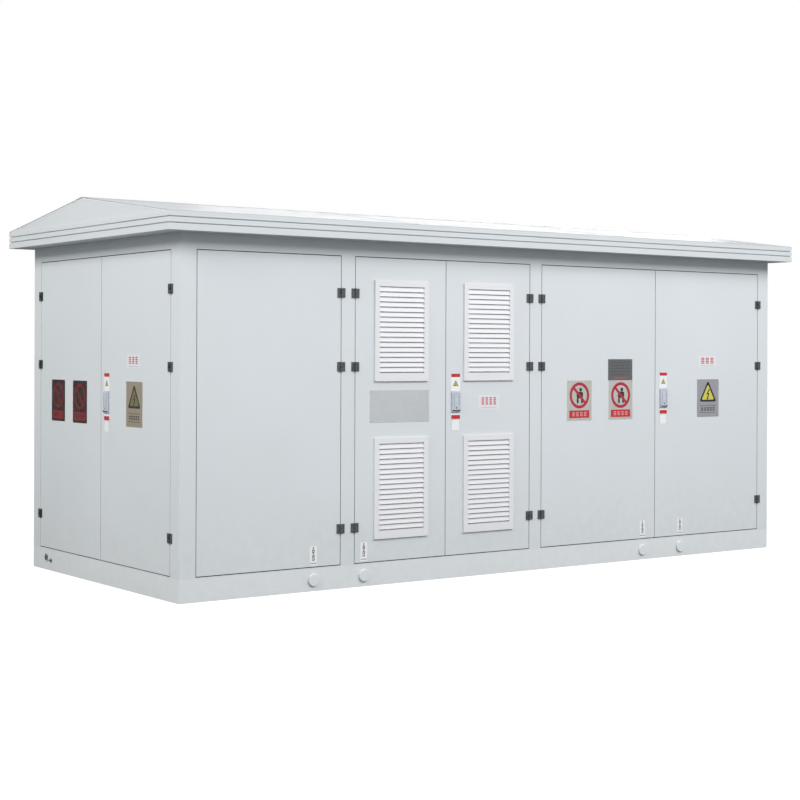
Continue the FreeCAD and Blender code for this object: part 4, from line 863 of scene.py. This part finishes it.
def roof_seams():
    """Flat cover strips over the joints between the roof sheets, on both slopes."""
    low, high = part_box("roof_sheets")
    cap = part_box("ridge_cap")[1].y + 0.004
    length = high.x - low.x
    fall = (high.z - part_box("eaves_fascia")[1].z - 0.004) / high.y
    mesh = bmesh.new()
    for side in (-1, 1):
        for step in (-1, 1):
            across = step * length / 6
            section = ((-0.022, TOUCH), (-0.018, 0.003), (0.018, 0.003), (0.022, TOUCH))
            rows = []
            for along in (cap, high.y - 0.004):
                lift = high.z - fall * along
                rows.append([mesh.verts.new((across + x, side * along, lift + z)) for x, z in section])
            for corners in (*walls(*rows), rows[0], rows[1][::-1]):
                mesh.faces.new(corners)
    bmesh.ops.recalc_face_normals(mesh, faces=mesh.faces)
    finish_mesh("roof_seam_covers", mesh, ["roof"], "enclosure")


def louvre_screws():
    """Small pan heads round the border of each louvre."""
    sites = {"transformer_door_left": (FRONT, "door_louvres_left", (0,)),
             "transformer_door_right": (FRONT, "door_louvres_right", (0,)),
             "enclosure": (REAR, "rear_louvres", (0, 1))}
    border, tall = 0.486, 0.737
    for body, (face, node, panels) in sites.items():
        left, right, low, high = face.span(node)
        level = face.proud(node)
        relief = Relief(f"{body}_louvre_screws", face)
        for panel in panels:
            start = left if panel == 0 else right - border
            for foot in (low, high - tall):
                for u in (start + 0.018, start + border - 0.018):
                    for part in (0.02, 0.5, 0.98):
                        center = (u, foot + tall * part)
                        relief.disc(center, 0.0042, 14, level, level + 0.0016, "louvre")
        relief.finish(body, 0.0006)


# --- inside: switchgear fronts --------------------

# Height of a cabinet's cover sheets above its front.
COVER = 0.003


def screwed_cover(relief, center, width, height):
    """Rounded cover sheet with a screw near each corner."""
    relief.block(center, width, height, 0.010, TOUCH, COVER, "cabinet_door")
    rivets(relief, width, height, COVER, center, 0.016, 0.006, 0.003, 16)


def lamp(relief, center, key):
    relief.disc(center, 0.0145, 24, COVER, COVER + 0.004, "steel")
    relief.disc(center, 0.0105, 24, COVER + 0.004, COVER + 0.010, key)


def gauge(relief, center, radius):
    """Round dial: rim, pale face, graduations and a pointer."""
    rim = COVER + 0.006
    dial = rim + 0.0005
    relief.disc(center, radius, 40, COVER, rim, "black")
    relief.disc(center, radius * 0.86, 40, rim, dial, "white")
    for spot in arc(center, radius * 0.68, 225, -45, 8):
        relief.disc(spot, radius * 0.05, 8, dial, dial + 0.0005, "ink")
    tip = polar(center, radius * 0.52, math.degrees(2.2))
    base = radius * 0.06
    pointer = [(center[0] - base, center[1] - base), (center[0] + base, center[1] + base), tip]
    relief.prism(pointer, dial, dial + 0.0008, "red")


def ring_main_fronts():
    """Each cubicle: lamps, a gauge and a window above, the switch field, the cable cover below."""
    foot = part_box("ring_main_unit")[0].z
    shaft = (0, joint_place("hv_switch_turn").z - foot)
    for index in range(3):
        u = (index - 1) * 0.5
        relief = Relief(f"ring_main_front_{index}", UNIT, u, foot)
        screwed_cover(relief, (0, 1.60), 0.44, 0.42)
        gauge(relief, (-0.11, 1.70), 0.042)
        for step, key in enumerate(("lamp_red", "lamp_green", "lamp_yellow")):
            lamp(relief, (0.02 + step * 0.055, 1.71), key)
        relief.block((0, 1.53), 0.30, 0.11, 0.012, COVER, 0.007, "black")
        relief.block((0, 1.53), 0.26, 0.075, 0.008, 0.007, 0.0075, "glass")
        for height in (1.275, 0.79):
            relief.block((0, height), 0.006, 0.14, 0.002, TOUCH, 0.0012, "ink")
        relief.band(circle(shaft, 0.072), circle(shaft, 0.060), TOUCH, COVER, "steel")
        for turn, key in ((-90, "lamp_red"), (0, "lamp_green")):
            relief.disc(polar(shaft, 0.088, turn), 0.007, 20, TOUCH, 0.002, key)
        if index != 1:
            relief.disc(shaft, 0.022, 32, TOUCH, 0.010, "steel")
            relief.disc(shaft, 0.012, 6, 0.010, 0.0102, "ink")
        screwed_cover(relief, (0, 0.36), 0.44, 0.62)
        for side in (-1, 1):
            relief.block((side * 0.17, 0.42), 0.016, 0.110, 0.007, COVER, 0.024, "black")
        relief.finish("enclosure", 0.0008)


def board_fronts():
    """Low-voltage board: meters above, breakers in the middle, vented doors below."""
    left, right, foot, _ = BOARD.span("lv_switchboard")
    bay = (right - left) / 3
    lever = joint_place("main_breaker_turn")
    for index in range(3):
        u = left + bay * (index + 0.5)
        relief = Relief(f"board_front_{index}", BOARD, u, foot)
        screwed_cover(relief, (0, 1.74), bay - 0.05, 0.46)
        for step in range(3):
            gauge(relief, (-0.19 + step * 0.19, 1.83), 0.055)
        for step, key in enumerate(("lamp_red", "lamp_green", "lamp_yellow", "lamp_red")):
            lamp(relief, (-0.12 + step * 0.08, 1.64), key)
        relief.block((bay / 2 - 0.060, 1.64), 0.018, 0.120, 0.008, COVER, 0.022, "black")
        if index == 1:
            breaker_front(relief, (lever.x - u, lever.z - foot))
        else:
            feeder_breakers(relief, bay)
        screwed_cover(relief, (0, 0.44), bay - 0.05, 0.78)
        relief.block((bay / 2 - 0.060, 0.52), 0.018, 0.120, 0.008, COVER, 0.022, "black")
        # The vent slots are black bars: painted shade standing in for the dark openings.
        for slot in range(9):
            line = rounded(0.30, 0.007, 0.003, (0, 0.14 + slot * 0.020), 3)
            relief.prism(line, COVER, 0.0042, "ink")
        relief.finish("enclosure", 0.0008)


def breaker_front(relief, center):
    """Trim on the raised front of the main breaker, round its rotary lever."""
    level = BREAKER_PROUD
    relief.band(rounded(0.40, 0.42, 0.016, center), rounded(0.37, 0.39, 0.012, center), level,
                level + 0.004, "black")
    relief.band(circle(center, 0.064), circle(center, 0.052), level, level + 0.003, "steel")
    for side, key in ((-1, "lamp_green"), (1, "lamp_red")):
        spot = (center[0] + side * 0.11, center[1] - 0.13)
        relief.block(spot, 0.040, 0.026, 0.004, level, level + 0.008, key)
    window = (center[0] - 0.12, center[1] + 0.13)
    relief.block(window, 0.09, 0.05, 0.005, level, level + 0.002, "glass")


def feeder_breakers(relief, bay):
    """Two rows of moulded-case breakers on a plate."""
    relief.block((0, 1.15), bay - 0.05, 0.56, 0.010, TOUCH, COVER, "cabinet_door")
    for row in (1.30, 1.00):
        for step in range(4):
            spot = (-0.225 + step * 0.150, row)
            relief.block(spot, 0.105, 0.165, 0.006, COVER, 0.034, "breaker_grey")
            relief.block(spot, 0.060, 0.070, 0.004, 0.034, 0.038, "black")
            relief.block((spot[0], spot[1] + 0.012), 0.020, 0.034, 0.004, 0.038, 0.058, "black")


# --- inside: transformer --------------------

def tube(name, points, radius, key):
    """Round cable through points, along a smoothed path."""
    path = bpy.data.curves.new(name, "CURVE")
    path.dimensions = "3D"
    path.bevel_depth = radius
    path.bevel_resolution = 4
    path.use_fill_caps = True
    path.resolution_u = 8
    spline = path.splines.new("BEZIER")
    spline.bezier_points.add(len(points) - 1)
    for point, where in zip(spline.bezier_points, points):
        point.co = where
        point.handle_left_type = point.handle_right_type = "AUTO"
    path.materials.append(MAT[key])
    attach(put(name, path), "enclosure")


def solid_box(mesh, low, high):
    """Closed box in a bmesh between two corners."""
    corners = [mesh.verts.new((x, y, z)) for x in (low[0], high[0]) for y in (low[1], high[1])
               for z in (low[2], high[2])]
    for quad in ((0, 1, 3, 2), (4, 6, 7, 5), (0, 4, 5, 1), (2, 3, 7, 6), (0, 2, 6, 4), (1, 5, 7, 3)):
        mesh.faces.new([corners[index] for index in quad])


def standing_prism(mesh, outline, low, high):
    """Closed upright prism over a plan outline."""
    rows = [[mesh.verts.new((x, y, z)) for x, y in outline] for z in (low, high)]
    for corners in (rows[0][::-1], rows[1], *walls(*rows)):
        mesh.faces.new(corners)


def cover_bolts():
    """Hexagon bolts with washers round the rim of the tank's cover."""
    low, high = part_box("tank_cover")
    inset = 0.018
    span_x = high.x - low.x - 2 * inset
    span_y = high.y - low.y - 2 * inset
    spots = []
    for index in range(9):
        along = low.x + inset + span_x * index / 8
        spots += [(along, low.y + inset), (along, high.y - inset)]
    for index in range(1, 4):
        along = low.y + inset + span_y * index / 4
        spots += [(low.x + inset, along), (high.x - inset, along)]
    mesh = bmesh.new()
    for spot in spots:
        standing_prism(mesh, circle(spot, 0.013, 20), high.z + TOUCH, high.z + 0.0025)
        standing_prism(mesh, circle(spot, 0.0105, 6), high.z + 0.0025, high.z + 0.010)
    finish_mesh("cover_bolts", mesh, ["steel"], "enclosure", 0.0006)


def lifting_eyes():
    """Ring eyes welded near the cover's four corners."""
    low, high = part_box("tank_cover")
    relief = Relief("tank_lifting_eyes", FRONT, 0, high.z)
    for along in (low.y + 0.060, high.y - 0.060):
        relief.face = Face((0, along, 0), (1, 0, 0), (0, -1, 0))
        for across in (low.x + 0.070, high.x - 0.070):
            ring = (across, 0.040)
            relief.band(circle(ring, 0.028, 32), circle(ring, 0.013, 32), -0.006, 0.006, "tank")
            foot = rounded(0.080, 0.018, 0.004, (across, 0.0095))
            relief.prism(foot, -0.006, 0.006, "tank")
    relief.finish("enclosure", 0.001)


HV_PITCH, LV_PITCH, BUSHING_ROW, LV_DROP = 0.320, 0.220, 0.150, 0.190


def bushing_tops():
    """Tops of the terminals: three high-voltage ones, then four low-voltage ones."""
    center = middle("bushings")
    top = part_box("bushings")[1].z
    hv = [(center.x + step * HV_PITCH, BUSHING_ROW, top) for step in (-1, 0, 1)]
    lv = [(center.x + step * LV_PITCH, -BUSHING_ROW, top - LV_DROP) for step in (-1.5, -0.5, 0.5, 1.5)]
    return hv, lv


def high_voltage_cables():
    """Three insulated cables from the bushings, through the wall, into the high-voltage room."""
    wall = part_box("partition_walls")[0].x
    glands = bmesh.new()
    for index, (x, y, z) in enumerate(bushing_tops()[0]):
        side = y + 0.10 + index * 0.11
        height = z + 0.20 + index * 0.03
        points = [(x, y, z - 0.035), (x, y, z + 0.06), (x - 0.10, y + (side - y) * 0.3, height),
                  (wall + 0.22, side, height), (wall - 0.12, side, height)]
        tube(f"high_voltage_cable_{index}", points, 0.017, "cable")
        tube(f"high_voltage_boot_{index}", [(x, y, z - 0.060), (x, y, z - 0.01), (x, y, z + 0.030)],
             0.026, "boot_red")
        turned = Matrix.Translation((wall + 0.016, side, height)) @ Matrix.Rotation(math.pi / 2, 4, "Y")
        bmesh.ops.create_cone(glands, cap_ends=True, segments=6, radius1=0.034, radius2=0.030,
                              depth=0.026, matrix=turned)
    finish_mesh("cable_glands", glands, ["steel"], "enclosure", 0.001)


def low_voltage_bars():
    """Flat copper bars that rise from the bushings and run to the board's room, on two supports."""
    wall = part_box("partition_walls")[1].x
    tops = bushing_tops()[1]
    thick, wide, step = 0.005, 0.040, 0.075
    base = tops[0][2]
    face = tops[0][1] - 0.0105
    mesh = bmesh.new()
    for index, (x, _, z) in enumerate(tops):
        level = z + 0.10 + (len(tops) - 1 - index) * step
        solid_box(mesh, (x - wide / 2, face - thick, z - 0.045), (x + wide / 2, face, level + wide / 2))
        solid_box(mesh, (x - wide / 2, face - 2 * thick, level - wide / 2),
                  (wall + 0.10, face - thick - 0.0002, level + wide / 2))
    finish_mesh("low_voltage_bars", mesh, ["bar_copper"], "enclosure", 0.0008)
    supports = bmesh.new()
    for across in (tops[-1][0] + 0.16, wall - 0.06):
        solid_box(supports, (across - 0.012, face - thick, base + 0.05),
                  (across + 0.012, face + 0.025, base + 0.10 + len(tops) * step))
    finish_mesh("bar_supports", supports, ["breaker_grey"], "enclosure", 0.002)


def tank_fittings():
    """Blank rating plate on the fins and an oil gauge on the cover."""
    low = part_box("transformer_tank")[0]
    lane = Face((0, low.y, 0), (1, 0, 0), (0, -1, 0))
    size, thick = (0.20, 0.13), 0.002
    place = (middle("transformer_tank").x, 0.62)
    relief = sheet("tank_plate", lane, place, size, 0.006, thick, "sign_plate")
    for row in range(4):
        dashes(relief, (0, 0.035 - row * 0.024), 0.15, 0.009, 6, thick, "dark_plate")
    rivets(relief, *size, thick)
    relief.finish("enclosure", 0.0003)
    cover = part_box("tank_cover")[1]
    mesh = bmesh.new()
    spot = (low.x + 0.34, 0.0)
    for radius, foot, head in ((0.040, TOUCH, 0.012), (0.024, 0.012, 0.110), (0.031, 0.110, 0.135)):
        standing_prism(mesh, circle(spot, radius, 32), cover.z + foot, cover.z + head)
    finish_mesh("oil_level_gauge", mesh, ["black"], "enclosure", 0.002)


def dress_earth_terminals():
    """Darken the two earth terminals, which share a node with the panel screws."""
    data = nodes["fasteners"].data
    data.materials.append(MAT["rating"])
    for polygon in data.polygons:
        if polygon.center.x < LEFT_X:
            polygon.material_index = 1


# --- stage --------------------

def seen_by_camera(tree, first, second, kind):
    """Make the camera see the second shader while the light uses the first."""
    path = tree.nodes.new("ShaderNodeLightPath")
    join = tree.nodes.new("ShaderNodeMixShader")
    output = next(node for node in tree.nodes if node.type == kind)
    for source, socket in ((path.outputs["Is Camera Ray"], join.inputs[0]), (first, join.inputs[1]),
                           (second, join.inputs[2]), (join.outputs[0], output.inputs["Surface"])):
        tree.links.new(source, socket)


def stage_floor():
    """Pale floor that stays nearly white for the camera and throws little light back up."""
    graph = Graph("studio_floor")
    tone = graph.mix(graph.cloud((0.4, 3), 0.3, 0.7), (0.90, 0.90, 0.90), (0.93, 0.93, 0.93))
    graph.finish(tone, 0.9)
    glow = graph.add("ShaderNodeEmission", Strength=1.2)
    blend = graph.add("ShaderNodeMixShader")
    for slot, value in enumerate((0.80, graph.shader.outputs[0], glow.outputs[0])):
        graph.feed(blend.inputs[slot], value)
    dim = graph.add("ShaderNodeBsdfDiffuse", Color=(0.17, 0.18, 0.18, 1))
    seen_by_camera(graph.tree, dim.outputs[0], blend.outputs[0], "OUTPUT_MATERIAL")
    mesh = bmesh.new()
    bmesh.ops.create_grid(mesh, x_segments=1, y_segments=1, size=60)
    floor = put_mesh("studio_floor", mesh, [graph.material])
    floor.location.z = -0.0005


def area_light(name, place, target, size, power, color=(1, 1, 1)):
    data = bpy.data.lights.new(name, "AREA")
    data.shape = "RECTANGLE"
    data.size, data.size_y = size
    data.energy = power
    data.color = color
    light = put(name, data)
    light.location = place
    light.rotation_euler = (Vector(target) - Vector(place)).to_track_quat("-Z", "Y").to_euler()


def lights():
    """White surround for the camera, soft sky light for the object, and three softboxes."""
    bpy.context.scene.view_settings.view_transform = "Standard"
    world = bpy.data.worlds.new("studio")
    bpy.context.scene.world = world
    world.use_nodes = True
    tree = world.node_tree
    sky = tree.nodes["Background"]
    sky.inputs["Color"].default_value = (0.97, 0.985, 1.0, 1)
    sky.inputs["Strength"].default_value = 0.47
    white = tree.nodes.new("ShaderNodeBackground")
    white.inputs["Color"].default_value = (1, 1, 1, 1)
    seen_by_camera(tree, sky.outputs[0], white.outputs[0], "OUTPUT_WORLD")
    area_light("front_softbox", (2.6, -9.4, 9.4), (0.8, -1.0, 0.9), (15, 6), 1560)
    area_light("left_softbox", (-10.2, -1.8, 7.4), (-2.9, -0.4, 1.0), (6, 4), 790, (1.0, 0.99, 0.975))
    area_light("rear_softbox", (7.5, 9.0, 4.4), (1.2, 1.2, 1.2), (8, 3), 420)


EYE = (-8.188, -11.031, 1.696)
HEADING, PITCH, ROLL = -35.877, 90, 0.2256
LENS, SENSOR, SHIFT = 74.158, 36.0, -0.0592


def camera():
    """Eye-level view of the front and the left end, 36 degrees off the front's normal."""
    data = bpy.data.cameras.new("camera")
    data.sensor_width = SENSOR
    data.lens = LENS
    data.shift_y = SHIFT
    data.clip_end = 200
    view = put("camera", data)
    view.location = EYE
    turns = [Matrix.Rotation(math.radians(angle), 4, axis)
             for angle, axis in ((HEADING, "Z"), (PITCH, "X"), (ROLL, "Z"))]
    view.rotation_euler = (turns[0] @ turns[1] @ turns[2]).to_euler()
    bpy.context.scene.camera = view


dress_cad_nodes()
dress_earth_terminals()
signs()
door_seals()
leaf_stiffeners()
verge_trims()
roof_seams()
louvre_screws()
ring_main_fronts()
board_fronts()
cover_bolts()
lifting_eyes()
high_voltage_cables()
low_voltage_bars()
tank_fittings()
stage_floor()
lights()
camera()
